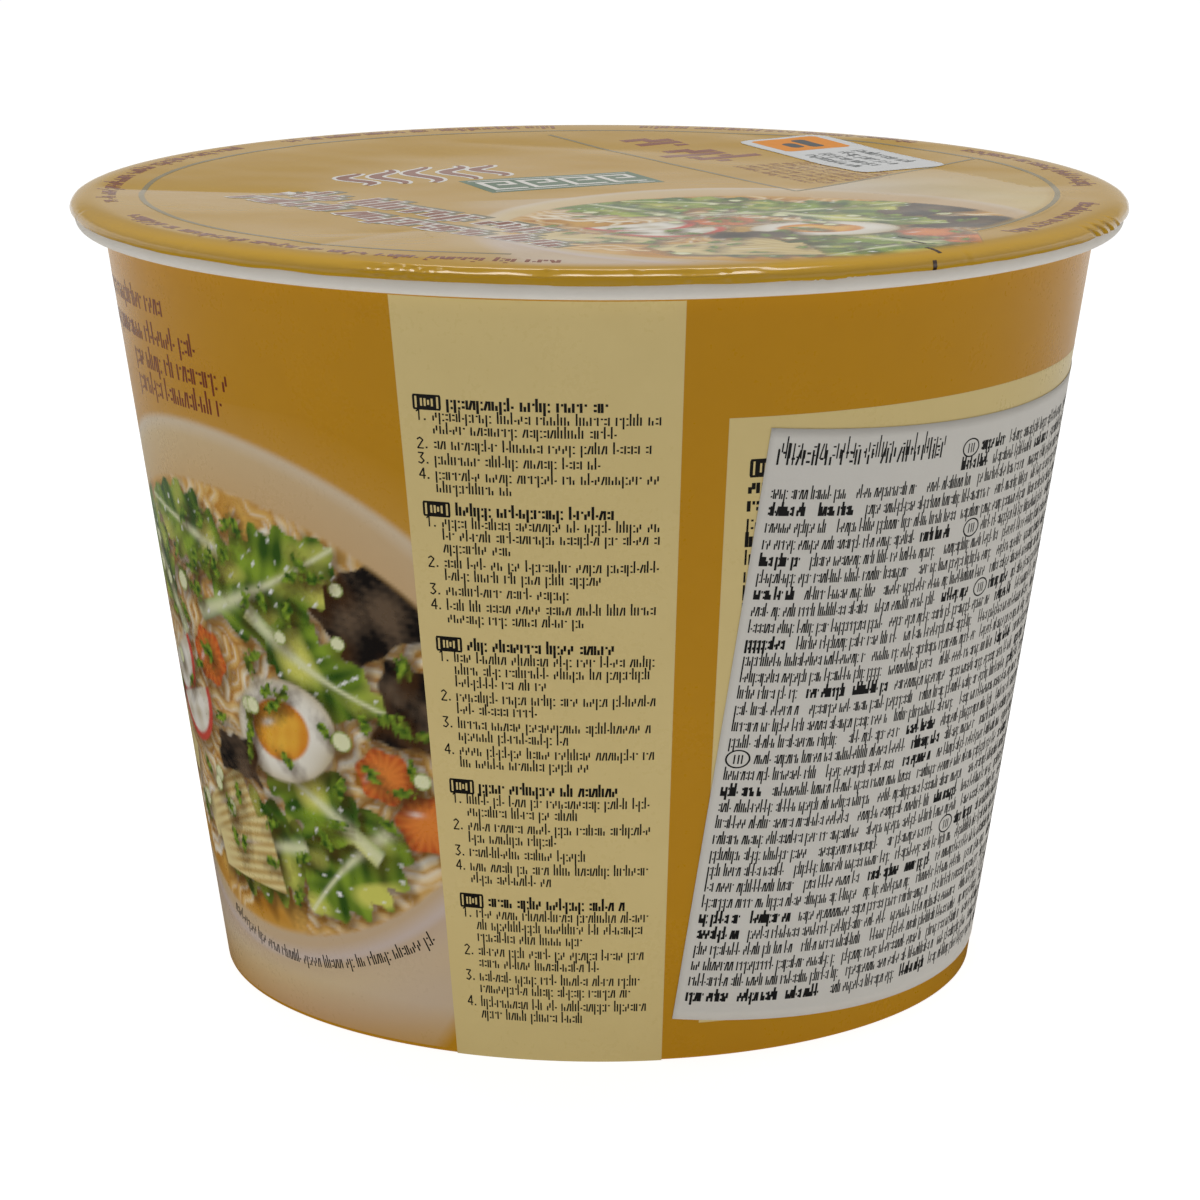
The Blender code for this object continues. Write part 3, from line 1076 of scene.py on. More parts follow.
# Toppings: across and up from the food's middle, turn and shape
TOPPINGS = (
    (27.0, 15.0, 0.55, seaweed(15.0, 12.0, 3)),
    (-24.0, 15.0, 2.3, leaf(30.0, 14.0, 5)),
    (-6.0, 19.0, 2.9, leaf(27.0, 12.0, 9)),
    (8.0, 16.0, 0.5, leaf(31.0, 16.0, 13)),
    (34.0, 4.0, -0.2, seaweed(13.0, 12.0, 7)),
    (17.0, 8.0, -0.5, leaf(24.0, 12.0, 17)),
    (-19.0, 1.0, 0.5, fish_cake),
    (-15.0, -3.5, 0.3, fish_cake),
    (-29.0, -8.0, 2.8, bamboo),
    (3.0, -17.0, 3.4, leaf(30.0, 16.0, 21)),
    (22.0, -15.0, 3.9, leaf(27.0, 15.0, 25)),
    (14.0, -9.0, 2.6, leaf(25.0, 12.0, 29)),
    (-8.0, -14.0, 0.4, bamboo),
    (-4.0, -18.0, 0.2, bamboo),
    (33.0, -9.0, 0.0, carrot(4.4)),
    (27.0, -4.0, 0.8, carrot(4.0)),
    (10.0, -1.0, 0.35, egg),
    (-6.0, 5.0, 0.9, carrot(4.2)),
    (-2.0, -6.0, 0.0, seaweed(10.0, 6.0, 11)),
)


def paint_china(picture, wide, high, food):
    """The bowl's body, its rim and its inner wall."""
    x, y = picture.x, picture.y
    out = np.hypot(x / wide, y / high)
    fall = np.clip(-y / (high * 1.55), 0.0, 1.0)
    body = np.minimum(wide * np.sqrt(1.0 - 0.88 * fall ** 2) - abs(x), 4.0 - y * 2.0)
    streak = cloud(x * 0.5, y * 2.0, 12.0, 61)
    tones = mixed(CHINA_PINK, CHINA_SHADE, 0.2 + 0.6 * abs(x / wide + 0.1) + 0.25 * streak)
    tones = mixed(tones, CHINA_CREAM, 0.7 * fall + 0.35 * streak * fall)
    fade = np.clip((y + high * 1.30) / (high * 0.26), 0.0, 1.0)
    picture.lay(EVERYWHERE, (1.06 - out) * high, CHINA_GOLD, soft=9.0, strength=0.4)
    picture.lay(EVERYWHERE, body, tones, soft=3.0, strength=fade)
    picture.lay(EVERYWHERE, (1.04 - out) * high, CHINA_SHADE, soft=3.0, strength=0.5 * (y < 0))
    turn = np.arctan2(y / high, x / wide)
    low = np.clip(-np.sin(turn), 0.0, 1.0)
    rim = mixed(CHINA, CHINA_PINK, 2.0 * low)
    picture.lay(EVERYWHERE, (1.0 - out) * high, rim, soft=1.1)
    inner = mixed(CHINA_CREAM, CHINA_GOLD, 0.25 + 0.45 * np.cos(turn - 1.1) + food / 14.0)
    inner = mixed(inner, CHINA_SHADE, 0.4 * low + 0.25 + 0.3 * np.cos(turn))
    picture.lay(EVERYWHERE, (0.97 - out) * high, inner, soft=2.4)


# Small bits strewn over the food. Each fifth is a ring of onion, the rest are herbs.
BITS, ONION_EVERY = 90, 5

# How far a topping and a bit reach from their middles, in millimetres
TOPPING_REACH, BIT_REACH = 20.0, 3.0


def paint_serving(picture, wide, high, seed, bundles, enlarge):
    """A white bowl of noodles in broth, with its toppings enlarged so far."""
    chance = random.Random(seed)
    scale = wide / 50.0
    squash = high / wide * 0.96
    food_wide, food_high, food_drop = 0.91 * wide, 0.835 * high, 0.06 * high
    food_out = np.hypot(picture.x / food_wide, (picture.y + food_drop) / food_high)
    food = (1.0 - food_out) * food_high
    paint_china(picture, wide, high, food)
    picture.clip = np.clip(food / 0.8 + 0.5, 0.0, 1.0)
    tone = 0.45 + 0.6 * cloud(picture.x, picture.y, 7.0, seed)
    picture.lay(EVERYWHERE, food, mixed(BROTH, BROTH_LIGHT, tone), soft=1.2)
    for _ in range(bundles):
        noodle_bundle(picture, chance, food_wide * 0.92, squash, scale)
    broth_edge = mixed(BROTH_LIGHT, CHINA_GOLD, tone)
    picture.lay(EVERYWHERE, 1.2 - food, broth_edge, soft=3.6, strength=0.7)
    for across, up, turn, shape in TOPPINGS:
        x, y = across / LAYOUT[0] * food_wide, up / LAYOUT[1] * food_high - food_drop
        stamp(picture, x, y, turn, TOPPING_REACH * scale * enlarge, shape, scale * enlarge)
    for number in range(BITS):
        turn = chance.uniform(0.0, math.tau)
        out = 0.86 * math.sqrt(chance.random())
        x, y = out * food_wide * math.cos(turn), out * food_high * math.sin(turn) - food_drop
        onion = number % ONION_EVERY == 0
        shape = onion_ring(chance.uniform(1.1, 1.7)) if onion else herb(number)
        stamp(picture, x, y, chance.uniform(0.0, 6.0), BIT_REACH * scale, shape, scale)
    picture.clip = np.ones(picture.x.shape)


# Paint that covers less than this isn't laid
LEAST_COVER = 0.003


def lay_picture(name, picture, lay, middle, material):
    """The painted grid as a mesh on its surface, without what has no paint."""
    used = picture.cover > LEAST_COVER
    cells = used[:-1, :-1] | used[1:, :-1] | used[:-1, 1:] | used[1:, 1:]
    kept = np.zeros(used.shape, bool)
    ends = (slice(0, -1), slice(1, None))
    for rows in ends:
        for columns in ends:
            kept[rows, columns] |= cells
    number = np.cumsum(kept).reshape(kept.shape) - 1
    x, y = picture.x[kept], picture.y[kept]
    flat = [(middle[0] + a * MM, middle[1] + b * MM, LAYER) for a, b in zip(x.tolist(), y.tolist())]
    points = [lay(*place) for place in flat]
    low, high = number[:-1], number[1:]
    corners = (low[:, :-1], low[:, 1:], high[:, 1:], high[:, :-1])
    faces = np.stack([corner[cells] for corner in corners], 1)
    mesh = bpy.data.meshes.new(name)
    mesh.from_pydata(points, [], faces.tolist())
    mesh.shade_smooth()
    cover = picture.cover[kept]
    paints = picture.paint[kept] / np.maximum(cover, LEAST_COVER)[:, None]
    attribute = mesh.color_attributes.new("paint", "FLOAT_COLOR", "POINT")
    attribute.data.foreach_set("color", np.column_stack((paints, cover)).ravel())
    spots = np.column_stack(((x - x.min()) / np.ptp(x), (y - y.min()) / np.ptp(y)))
    loops = np.empty(len(mesh.loops), int)
    mesh.loops.foreach_get("vertex_index", loops)
    mesh.uv_layers.new(name="UVMap").uv.foreach_set("vector", spots[loops].ravel())
    mesh.normals_split_custom_set_from_vertices(surface_normals(lay, flat, points, False))
    finish_piece(name, mesh, (material,))


WALL_PICTURE_HEIGHT = 47.0 * MM
WALL_BOWL = (50.3, 38.5)
WALL_PICTURE_TURNS = (("left_picture", -54.8), ("back_picture", 166.0))


def wall_pictures():
    """The same picture on the wall's left and at its back."""
    picture = Picture(-55.0, -46.4, 55.0, 42.5, 0.36)
    paint_serving(picture, *WALL_BOWL, 3, 60, 1.12)
    for name, degrees in WALL_PICTURE_TURNS:
        middle = (at_turn(degrees), WALL_PICTURE_HEIGHT)
        lay_picture(name, picture, wall_point, middle, board_picture)


# The lid's print
LID_RING = 65.0 * MM
LID_LIFT = 0.01 * MM
FRAME_CORNERS = (Vector((-7.9, 60.0)) * MM, Vector((28.0, -1.0)) * MM, Vector((56.5, 32.0)) * MM)
LID_PICTURE_MIDDLE = (22.0 * MM, -35.5 * MM)
LID_BOWL = (38.5, 37.5)
LID_PICTURE_EDGE = 71.8
GLOW, GLOW_FAR = paint("#e3e6e6"), paint("#ecdfae")


def lid_serving():
    """The serving picture on the lid, cut off by the ring, with a pale glow behind it."""
    middle_x, middle_y = (value / MM for value in LID_PICTURE_MIDDLE)
    picture = Picture(-46.0, -39.0, 44.0, 72.0, 0.40)
    x, y = picture.x + middle_x, picture.y + middle_y
    corner, far = FRAME_CORNERS[1] / MM, FRAME_CORNERS[2] / MM
    along = (far - corner).normalized()
    below_right = along.y * (x - corner.x) - along.x * (y - corner.y)
    below_left = (corner.y - y) + 0.22 * (x - corner.x)
    below = np.where(x > corner.x, below_right, below_left)
    around = np.hypot(picture.x / LID_BOWL[0], picture.y / LID_BOWL[1])
    reach = np.clip(1.75 - around, 0.0, 1.0) * np.clip((x + 22.0) / 26.0, 0.0, 1.0)
    tones = mixed(GLOW, GLOW_FAR, (x - 34.0) / 26.0)
    picture.lay(EVERYWHERE, below, tones, soft=0.8, strength=0.95 * reach)
    paint_serving(picture, *LID_BOWL, 17, 44, 1.4)
    edge = np.where(x > 50.0, LID_RING / MM - 0.5, LID_PICTURE_EDGE)
    fade = np.clip((edge - np.hypot(x, y)) / 2.4 + 0.5, 0.0, 1.0)
    picture.cover *= fade
    picture.paint *= fade[..., None]
    lay_picture(
        "lid_picture", picture, lid_point, LID_PICTURE_MIDDLE, lid_picture
    )


# Marks that stand for small print, as strokes in heights of a low mark: from x and y,
# so far across and up. None of them is a letter.
MARKS = (
    ((0.10, 0.0, 0.0, 1.0), (0.42, 0.80, 0.24, 0.0)),
    ((0.10, 0.0, 0.0, 1.0), (0.46, 0.0, 0.0, 0.55)),
    ((0.04, 0.0, 0.26, 1.0), (0.52, 0.0, 0.0, 1.0)),
    ((0.04, 0.22, 0.30, 0.0), (0.04, 0.78, 0.30, 0.0), (0.54, 0.0, 0.0, 1.0)),
    ((0.10, 0.0, 0.0, 1.45), (0.38, 0.42, 0.26, 0.0)),
    ((0.12, 0.0, 0.0, 0.62), (0.44, 0.38, 0.0, 0.62)),
    ((0.10, 0.0, 0.0, 1.45), (0.46, 0.0, 0.0, 1.0)),
    ((0.10, -0.42, 0.0, 1.42), (0.40, 0.10, 0.24, 0.0), (0.40, 0.82, 0.22, 0.0)),
)
# Shares of a low mark's height: from mark to mark, between words, and a stroke's width
MARK_ADVANCE, WORD_GAP, STROKE_WIDTH = 0.74, 0.5, 0.17
WORD_LENGTHS = (2, 3, 4, 4, 5, 6, 7, 9)


def mark_row(sheet, x, y, length, size, lift, slot, chance, heavy=1.0, narrow=1.0, spare=0.0):
    """Words of small marks along a row. size is the height of a low mark."""
    end = x + length
    while x < end - size:
        for _ in range(chance.choice(WORD_LENGTHS)):
            for start_x, start_y, across, up in chance.choice(MARKS):
                sheet.stroke(
                    x + start_x * size * narrow,
                    y + (-start_y if sheet.y_down else start_y) * size,
                    across * size * narrow,
                    up * size,
                    STROKE_WIDTH * size * heavy,
                    lift,
                    slot,
                    spare,
                )
            x += MARK_ADVANCE * size * narrow
            if x > end - size:
                break
        x += WORD_GAP * size * narrow


def rounded(width, height, corner, x=0.0, y=0.0):
    """place(u, v) for a patch with rounded corners, about its middle."""

    def place(u, v):
        down = (v - 0.5) * height
        into_corner = max(0.0, abs(down) - height / 2 + corner)
        inset = corner - math.sqrt(max(0.0, corner * corner - into_corner * into_corner))
        return x + (u - 0.5) * (width - 2.0 * inset), y + down

    return place


def box_place(left, bottom, right, top):
    """place(u, v) for a plain rectangle."""
    return lambda u, v: (left + (right - left) * u, bottom + (top - bottom) * v)


# The panels on the wall
PANEL_LEFT_TOP, PANEL_LEFT_FOOT = at_turn(-22.7), at_turn(-20.6)
PANEL_RIGHT = at_turn(9.1)
SECOND_PANEL = (at_turn(14.3), 5.3 * MM, at_turn(118.0), 91.4 * MM)
PANEL_LIFT = 2 * LAYER
PANEL_MARK_LIFT = PANEL_LIFT + LAYER

# The sections of the first panel: how many lines each step takes, and their heights
SECTIONS = ((2, 1, 1, 2), (3, 2, 1, 2), (3, 2, 2, 2), (2, 2, 1, 2), (3, 2, 2, 2))
SECTION_TOPS = (92.5, 78.0, 59.3, 39.1, 22.5)
LINE_PITCH = 1.74 * MM
STEP_GAP = 0.34 * MM

# The sections' left edge, which moves right by this much over this height in millimetres
SECTION_LEFT, SECTION_SHIFT, SECTION_SPAN = at_turn(-20.7), at_turn(2.6), 93.0

# Starts from that edge, lengths and sizes within a section
SECTION_TAG, TAG_DROP = (3.6 * MM, 2.1 * MM), 0.35 * MM
HEADING_START, HEADING_LENGTH, HEADING_SIZE = 4.3 * MM, 20.5 * MM, 1.25 * MM
NUMBER_START, NUMBER_SIZE = 0.3 * MM, 1.45 * MM
TEXT_START, TEXT_END, TEXT_SIZE = 2.4 * MM, at_turn(7.3), 1.12 * MM
HEADING_WEIGHT, TEXT_WEIGHT = 1.55, 1.15


def panels():
    sheet = Print(wall_point)

    def first_panel(u, v):
        left = PANEL_LEFT_FOOT + (PANEL_LEFT_TOP - PANEL_LEFT_FOOT) * v
        return left + (PANEL_RIGHT - left) * u, RIM_BOTTOM * v

    sheet.patch(24, 40, first_panel, PANEL_LIFT)
    sheet.patch(76, 30, box_place(*SECOND_PANEL), PANEL_LIFT)
    sheet.make_piece("cream_panels", "printed_board", board_cream)


# The pale bars in a tag: how far along, and how tall, in shares of it
TAG_BARS = ((0.12, 0.74), (0.31, 0.5), (0.44, 0.5), (0.56, 0.32), (0.69, 0.5), (0.88, 0.74))


def tag(sheet, left, bottom, width, height, lift):
    """A black tag with pale bars in it."""
    middle_x, middle_y = left + width / 2, bottom + height / 2
    sheet.patch(4, 8, rounded(width, height, 0.12 * MM, middle_x, middle_y), lift)
    for share, part in TAG_BARS:
        rise, start = height * part, left + width * share
        sheet.stroke(start, middle_y - rise / 2, 0.0, rise, 0.26 * MM, lift + LAYER, 1)


# The steps' numbers as paths in shares of their height
DIGITS = (
    ((0.08, 0.8), (0.3, 1.0), (0.3, 0.0)),
    ((0.0, 0.82), (0.25, 1.0), (0.5, 0.76), (0.0, 0.0), (0.52, 0.0)),
    ((0.0, 1.0), (0.48, 1.0), (0.2, 0.6), (0.5, 0.28), (0.25, 0.0), (0.0, 0.12)),
    ((0.4, 0.0), (0.4, 1.0), (0.0, 0.3), (0.55, 0.3)),
)


def step_number(sheet, step, x, y, size, lift):
    """The plain number of a step, with its dot."""
    path = [(x + across * size, y + up * size) for across, up in DIGITS[step]]
    for (x0, y0), (x1, y1) in zip(path, path[1:]):
        sheet.stroke(x0, y0, x1 - x0, y1 - y0, 0.13 * MM, lift, 0, 0.03 * MM)
    sheet.stroke(x + 0.8 * size, y, 0.0, 0.24 * MM, 0.24 * MM, lift)


def instruction_marks():
    """Five sections of small print, each with a black tag, a heading and its steps."""
    chance = random.Random(11)
    sheet = Print(wall_point)
    lift = PANEL_MARK_LIFT
    for steps, top in zip(SECTIONS, SECTION_TOPS):
        height = top * MM
        left = SECTION_LEFT + SECTION_SHIFT * (1.0 - top / SECTION_SPAN)
        room = TEXT_END - left - TEXT_START
        tag(sheet, left, height - TAG_DROP, *SECTION_TAG, lift)
        heading = (left + HEADING_START, height, HEADING_LENGTH, HEADING_SIZE)
        mark_row(sheet, *heading, lift, 0, chance, HEADING_WEIGHT)
        height -= LINE_PITCH
        for step, lines in enumerate(steps):
            step_number(sheet, step, left + NUMBER_START, height, NUMBER_SIZE, lift)
            for line in range(lines):
                length = room * (1.0 if line < lines - 1 else chance.uniform(0.3, 0.97))
                text = (left + TEXT_START, height, length, TEXT_SIZE)
                mark_row(sheet, *text, lift, 0, chance, TEXT_WEIGHT)
                height -= LINE_PITCH
            height -= STEP_GAP
    sheet.make_piece("instruction_marks", "printed_board", board_black, board_cream)


SECOND_LEFT, SECOND_TOP = SECOND_PANEL[0] + 2.9 * MM, 81.0 * MM
SECOND_ROWS, SECOND_PITCH = 30, 2.45 * MM
SECOND_LENGTH, SECOND_SIZE = SECOND_PANEL[2] - SECOND_LEFT - 3.0 * MM, 1.45 * MM
SECOND_TAG = (SECOND_LEFT, 83.2 * MM, 4.6 * MM, 2.5 * MM)
HEAVY_ROWS, HEAVY_WEIGHT, LIGHT_WEIGHT = (0, 1, 3), 2.0, 1.1


def second_panel_marks():
    """The strip of small print that shows beside the stuck-on label."""
    chance = random.Random(5)
    sheet = Print(wall_point)
    tag(sheet, *SECOND_TAG, PANEL_MARK_LIFT)
    height = SECOND_TOP
    for row in range(SECOND_ROWS):
        heavy = HEAVY_WEIGHT if row in HEAVY_ROWS else LIGHT_WEIGHT
        place = (SECOND_LEFT, height, SECOND_LENGTH, SECOND_SIZE)
        mark_row(sheet, *place, PANEL_MARK_LIFT, 0, chance, heavy)
        height -= SECOND_PITCH
    sheet.make_piece("second_panel_marks", "printed_board", board_black, board_cream)


# Lines above the left picture: degrees round at which each ends, and its height in
# millimetres
NAME_ROWS = ((-56.3, 99.4), (-50.5, 94.9), (-45.0, 91.0), (-46.5, 87.3))
NAME_SIZE, NAME_NARROW = 2.2 * MM, 0.82


def name_marks():
    """Four lines of tall brown marks above each serving picture."""
    chance = random.Random(23)
    sheet = Print(wall_point)
    for _, turned in WALL_PICTURE_TURNS:
        shift = turned - WALL_PICTURE_TURNS[0][1]
        for degrees, height in NAME_ROWS:
            length = chance.uniform(26.0, 38.0) * MM
            start = at_turn(degrees + shift) - length
            line = (start, height * MM, length, NAME_SIZE)
            mark_row(sheet, *line, 2 * LAYER, 0, chance, 1.0, NAME_NARROW)
    sheet.make_piece("name_marks", "printed_board", board_brown)


# The row of marks that bends along under each picture's bowl: its lowest place from
# the bowl's middle, how much it bends, and where it starts and ends
CURVE_LOW = (5.5 * MM, -38.6 * MM)
CURVE_BEND = 0.0089 / MM
CURVE_FROM, CURVE_TO = -13.0 * MM, 36.0 * MM
CURVE_SIZE, CURVE_NARROW = 1.3 * MM, 0.9


def curved_marks():
    chance = random.Random(61)
    for name, degrees in WALL_PICTURE_TURNS:
        middle = at_turn(degrees)

        def lay(x, y, lift, middle=middle):
            bend = CURVE_BEND * (x - CURVE_LOW[0])
            height = WALL_PICTURE_HEIGHT + CURVE_LOW[1] + bend * (x - CURVE_LOW[0]) + y
            return wall_point(middle + x - 2.0 * bend * y, height, lift)

        sheet = Print(lay)
        length = CURVE_TO - CURVE_FROM
        row = (CURVE_FROM, 0.0, length, CURVE_SIZE)
        mark_row(sheet, *row, 2 * LAYER, 0, chance, 1.0, CURVE_NARROW)
        sheet.make_piece(name + "_marks", "printed_board", board_black)


def circle_place(inner, outer, start, stop):
    """place(u, v) for a part of a ring."""

    def place(u, v):
        turn = start + (stop - start) * u
        radius = inner + (outer - inner) * v
        return radius * math.sin(turn), -radius * math.cos(turn)

    return place


def line_place(first, last, width):
    """place(u, v) for a straight line."""
    along = Vector((last[0] - first[0], last[1] - first[1]))
    side = Vector((-along.y, along.x)).normalized() * width

    def place(u, v):
        return (
            first[0] + along.x * u + side.x * (v - 0.5),
            first[1] + along.y * u + side.y * (v - 0.5),
        )

    return place


RING_FROM, RING_TO = math.radians(50.0), math.radians(350.0)
RING_HALF_WIDTH = 0.4 * MM
FRAME_LINE = 0.7 * MM


def lid_frame():
    """A thin ring inside the edge, and two straight lines that part off a corner."""
    sheet = Print(lid_point)
    lift = LID_LIFT + LAYER
    inner, outer = LID_RING - RING_HALF_WIDTH, LID_RING + RING_HALF_WIDTH
    sheet.patch(320, 2, circle_place(inner, outer, RING_FROM, RING_TO), lift)
    for first, last in zip(FRAME_CORNERS, FRAME_CORNERS[1:]):
        sheet.patch(80, 1, line_place(first, last, FRAME_LINE), lift)
    sheet.make_piece("lid_frame", "lid_laminate", lid_line)


# The marks' lengths are true at this distance out, and their feet are this much
# further out
RING_MARKS, RING_FEET = 67.0 * MM, 1.6 * MM
RING_MARK_SIZE, RING_MARK_WEIGHT = 2.0 * MM, 1.7
# Where groups of marks start and end round the lid, in degrees from the front
RING_GROUPS = (
    (-66.0, -3.0), (52.0, 78.0), (92.0, 128.0), (136.0, 176.0), (186.0, 226.0), (232.0, 284.0),
)


def lid_ring_marks():
    """Brown marks all round, between the ring and the fold."""
    chance = random.Random(41)

    def lay(x, y, lift):
        turn = x / RING_MARKS
        radius = RING_MARKS + RING_FEET - y
        return lid_point(radius * math.sin(turn), -radius * math.cos(turn), lift)

    sheet = Print(lay, y_down=True)
    for start, stop in RING_GROUPS:
        length = math.radians(stop - start) * RING_MARKS
        row = (math.radians(start) * RING_MARKS, 0.0, length, RING_MARK_SIZE)
        mark_row(sheet, *row, 2 * LAYER, 0, chance, RING_MARK_WEIGHT)
    sheet.make_piece("lid_ring_marks", "lid_laminate", lid_brown)


PLAQUE_MIDDLE = Vector((-5.5, 9.0)) * MM
PLAQUE_TURN = Matrix.Rotation(math.radians(24.0), 2)
PLAQUE_SIZE = (27.0 * MM, 13.0 * MM)
FRET_CELLS = 4

# The fret's lines, its rails along the edges, and the room round them and each cell
FRET_LINE, FRET_RAIL = 1.0 * MM, 0.5 * MM
FRET_EDGE, FRET_INSET, FRET_GAP = 1.0 * MM, 1.5 * MM, 1.0 * MM


def lid_plaque():
    """A green plaque with a white key fret, turned with the title."""
    sheet = Print(lid_point)

    def turned(left, bottom, right, top):
        flat = box_place(left, bottom, right, top)
        return lambda u, v: tuple(PLAQUE_MIDDLE + PLAQUE_TURN @ Vector(flat(u, v)))

    half_x, half_y = PLAQUE_SIZE[0] / 2, PLAQUE_SIZE[1] / 2
    sheet.patch(20, 10, turned(-half_x, -half_y, half_x, half_y), LID_LIFT, 0)
    line = FRET_LINE
    left, right = -half_x + FRET_EDGE, half_x - FRET_EDGE
    low, high = -half_y + FRET_EDGE, half_y - FRET_EDGE
    bars = [(left, low, right, low + FRET_RAIL), (left, high - FRET_RAIL, right, high)]
    cell = (right - left) / FRET_CELLS
    foot, roof = low + FRET_INSET, high - FRET_INSET
    middle = (foot + roof) / 2
    for index in range(FRET_CELLS):
        x = left + cell * index + FRET_GAP / 2
        width = cell - FRET_GAP
        bars += [
            (x, foot, x + width, foot + line),
            (x, foot + line, x + line, roof - line),
            (x, roof - line, x + width, roof),
            (x + width - line, middle + line, x + width, roof - line),
            (x + width / 2 - line / 2, middle, x + width, middle + line),
        ]
    for bar in bars:
        sheet.patch(4, 2, turned(*bar), LID_LIFT + LAYER, 1)
    sheet.make_piece("lid_plaque", "lid_laminate", lid_green, lid_white)


# Rows of the title: their first and last points
TITLE_ROWS = (
    (Vector((-46.5, -0.5)) * MM, Vector((-6.0, -45.4)) * MM),
    (Vector((-52.5, -6.0)) * MM, Vector((-5.5, -58.5)) * MM),
)
TITLE_SIZE, TITLE_WEIGHT, TITLE_STRETCH = 4.6 * MM, 2.0, 1.25
# The rows are drawn this far apart, in metres, and told apart by that
TITLE_ROW_GAP = 0.2
# The title's coats: how far each slips and grows past the strokes
TITLE_COATS = ((0.9 * MM, 0.5 * MM), (0.0, 0.42 * MM), (0.0, 0.0))


def lid_title():
    """Two slanting rows of outlined marks, each with a grey shadow."""
    laid = []
    for first, last in TITLE_ROWS:
        along = (last - first).normalized()
        laid.append((first, along, Vector((-along.y, along.x)), (last - first).length))

    def lay(x, y, lift):
        row = 0 if y < TITLE_ROW_GAP / 2 else 1
        first, along, side, _ = laid[row]
        flat = first + along * x + side * (y - row * TITLE_ROW_GAP)
        return lid_point(flat.x, flat.y, lift)

    sheet = Print(lay)
    for row, (_, _, _, reach) in enumerate(laid):
        for coat, (slip, grow) in enumerate(TITLE_COATS):
            line = (slip, row * TITLE_ROW_GAP + slip, reach, TITLE_SIZE)
            lift = LID_LIFT + (1 + coat) * LAYER
            form = (TITLE_WEIGHT, TITLE_STRETCH, grow)
            mark_row(sheet, *line, lift, coat, random.Random(29 + row), *form)
    sheet.make_piece("lid_title", "lid_laminate", lid_grey, lid_white, lid_brown)


# Wisps of the brushed mark: x, y, height and phase, in millimetres
BRUSH_WISPS = (
    (-34.0, 12.5, 12.0, 0.2),
    (-29.5, 15.0, 15.0, 0.9),
    (-24.5, 17.0, 17.0, 0.3),
    (-19.5, 19.5, 15.0, 1.1),
    (-15.0, 21.5, 12.0, 0.5),
)
BRUSH_STEPS = 44

# Each wisp sways this far at this pace, leans left, and is so wide, with its outline wider
WISP_SWAY, WISP_PACE, WISP_LEAN = 1.7, 7.5, 3.0
WISP_WIDTH, WISP_OUTLINE = 1.9, 1.2


def lid_brush():
    """Wisps of steam in brushed red-brown, outlined in cream."""
    sheet = Print(lid_point)
    for wisp_x, wisp_y, reach, phase in BRUSH_WISPS:
        path = []
        for step in range(BRUSH_STEPS + 1):
            share = step / BRUSH_STEPS
            x = wisp_x + WISP_SWAY * math.sin(share * WISP_PACE + phase) - WISP_LEAN * share
            y = wisp_y + (share - 0.5) * reach
            path.append(Vector((x, y)) * MM)
        for grow, slot, level in ((WISP_OUTLINE, 1, 0), (0.0, 0, 1)):

            def place(u, v, path=path, grow=grow):
                index = round(u * BRUSH_STEPS)
                before, after = path[max(index - 1, 0)], path[min(index + 1, BRUSH_STEPS)]
                along = (after - before).normalized()
                swell = math.sin(math.pi * (0.06 + 0.88 * u)) ** 0.7
                width = (WISP_WIDTH * swell + grow) * MM
                return tuple(path[index] + Vector((-along.y, along.x)) * (v - 0.5) * width)

            sheet.patch(BRUSH_STEPS, 2, place, LID_LIFT + level * LAYER, slot)
    sheet.make_piece("lid_brush", "lid_laminate", lid_brown, lid_white)


BLOCK_PLACE = Vector((21.5, 44.0)) * MM
BLOCK_TURN = Matrix.Rotation(math.radians(-60.0), 2)

# The block's large marks, x, y, length and size, and its small lines
LARGE_MARKS = (-17.6 * MM, -11.0 * MM, 31.0 * MM, 7.6 * MM)
LARGE_WEIGHT, LARGE_NARROW = 1.7, 0.85
SMALL_LINES, SMALL_TOP, SMALL_PITCH = 8, 4.0, 2.1
SMALL_LEFT, SMALL_LENGTH, SMALL_SIZE = 15.0 * MM, 23.0 * MM, 1.25 * MM


def lid_small_marks():
    """A row of large marks and a block of small ones at the back right."""
    chance = random.Random(57)

    def lay(x, y, lift):
        flat = BLOCK_PLACE + BLOCK_TURN @ Vector((x, y))
        return lid_point(flat.x, flat.y, lift)

    sheet = Print(lay)
    mark_row(sheet, *LARGE_MARKS, LID_LIFT, 0, chance, LARGE_WEIGHT, LARGE_NARROW)
    for line in range(SMALL_LINES):
        y = (SMALL_TOP - SMALL_PITCH * line) * MM
        mark_row(sheet, SMALL_LEFT, y, SMALL_LENGTH, SMALL_SIZE, LID_LIFT, 0, chance)
    sheet.make_piece("lid_small_marks", "lid_laminate", lid_brown)


# The dashes of the opening line: where each starts and ends out from the middle
DASHES = ((61.4, 63.9), (66.0, 68.6), (71.1, 74.0), (75.2, 76.9))

# Degrees round of the outermost dash and of how wide one is, and how much further
# round the line goes for each millimetre inside the fold
DASH_TURN, DASH_WIDTH = 34.9, 0.5
DASH_SLANT, DASH_FOLD = 0.35, 75.1


def opening_dashes():
    sheet = Print(lid_point)
    for start, end in DASHES:
        turn = math.radians(DASH_TURN + DASH_SLANT * max(DASH_FOLD - start, 0.0))
        place = circle_place(start * MM, end * MM, turn, turn + math.radians(DASH_WIDTH))
        sheet.patch(2, 24, place, LID_LIFT + 3 * LAYER)
    sheet.make_piece("opening_dashes", "lid_laminate", lid_dark)


# The stuck-on labels
LABEL_COLUMNS, LABEL_ROWS = 128, 60
LABEL_LEFT, LABEL_TOP = 1.4 * MM, 5.0 * MM
LABEL_PITCH = 2.34 * MM
LABEL_MARK = 1.32 * MM
LABEL_LINES = 34
# Rows of the label that hold an oval tag, and how far along it stands
LABEL_TAGS = {0: 33.0, 5: 36.0, 9: 41.0, 18: 1.6, 24: 42.0, 29: 62.0}


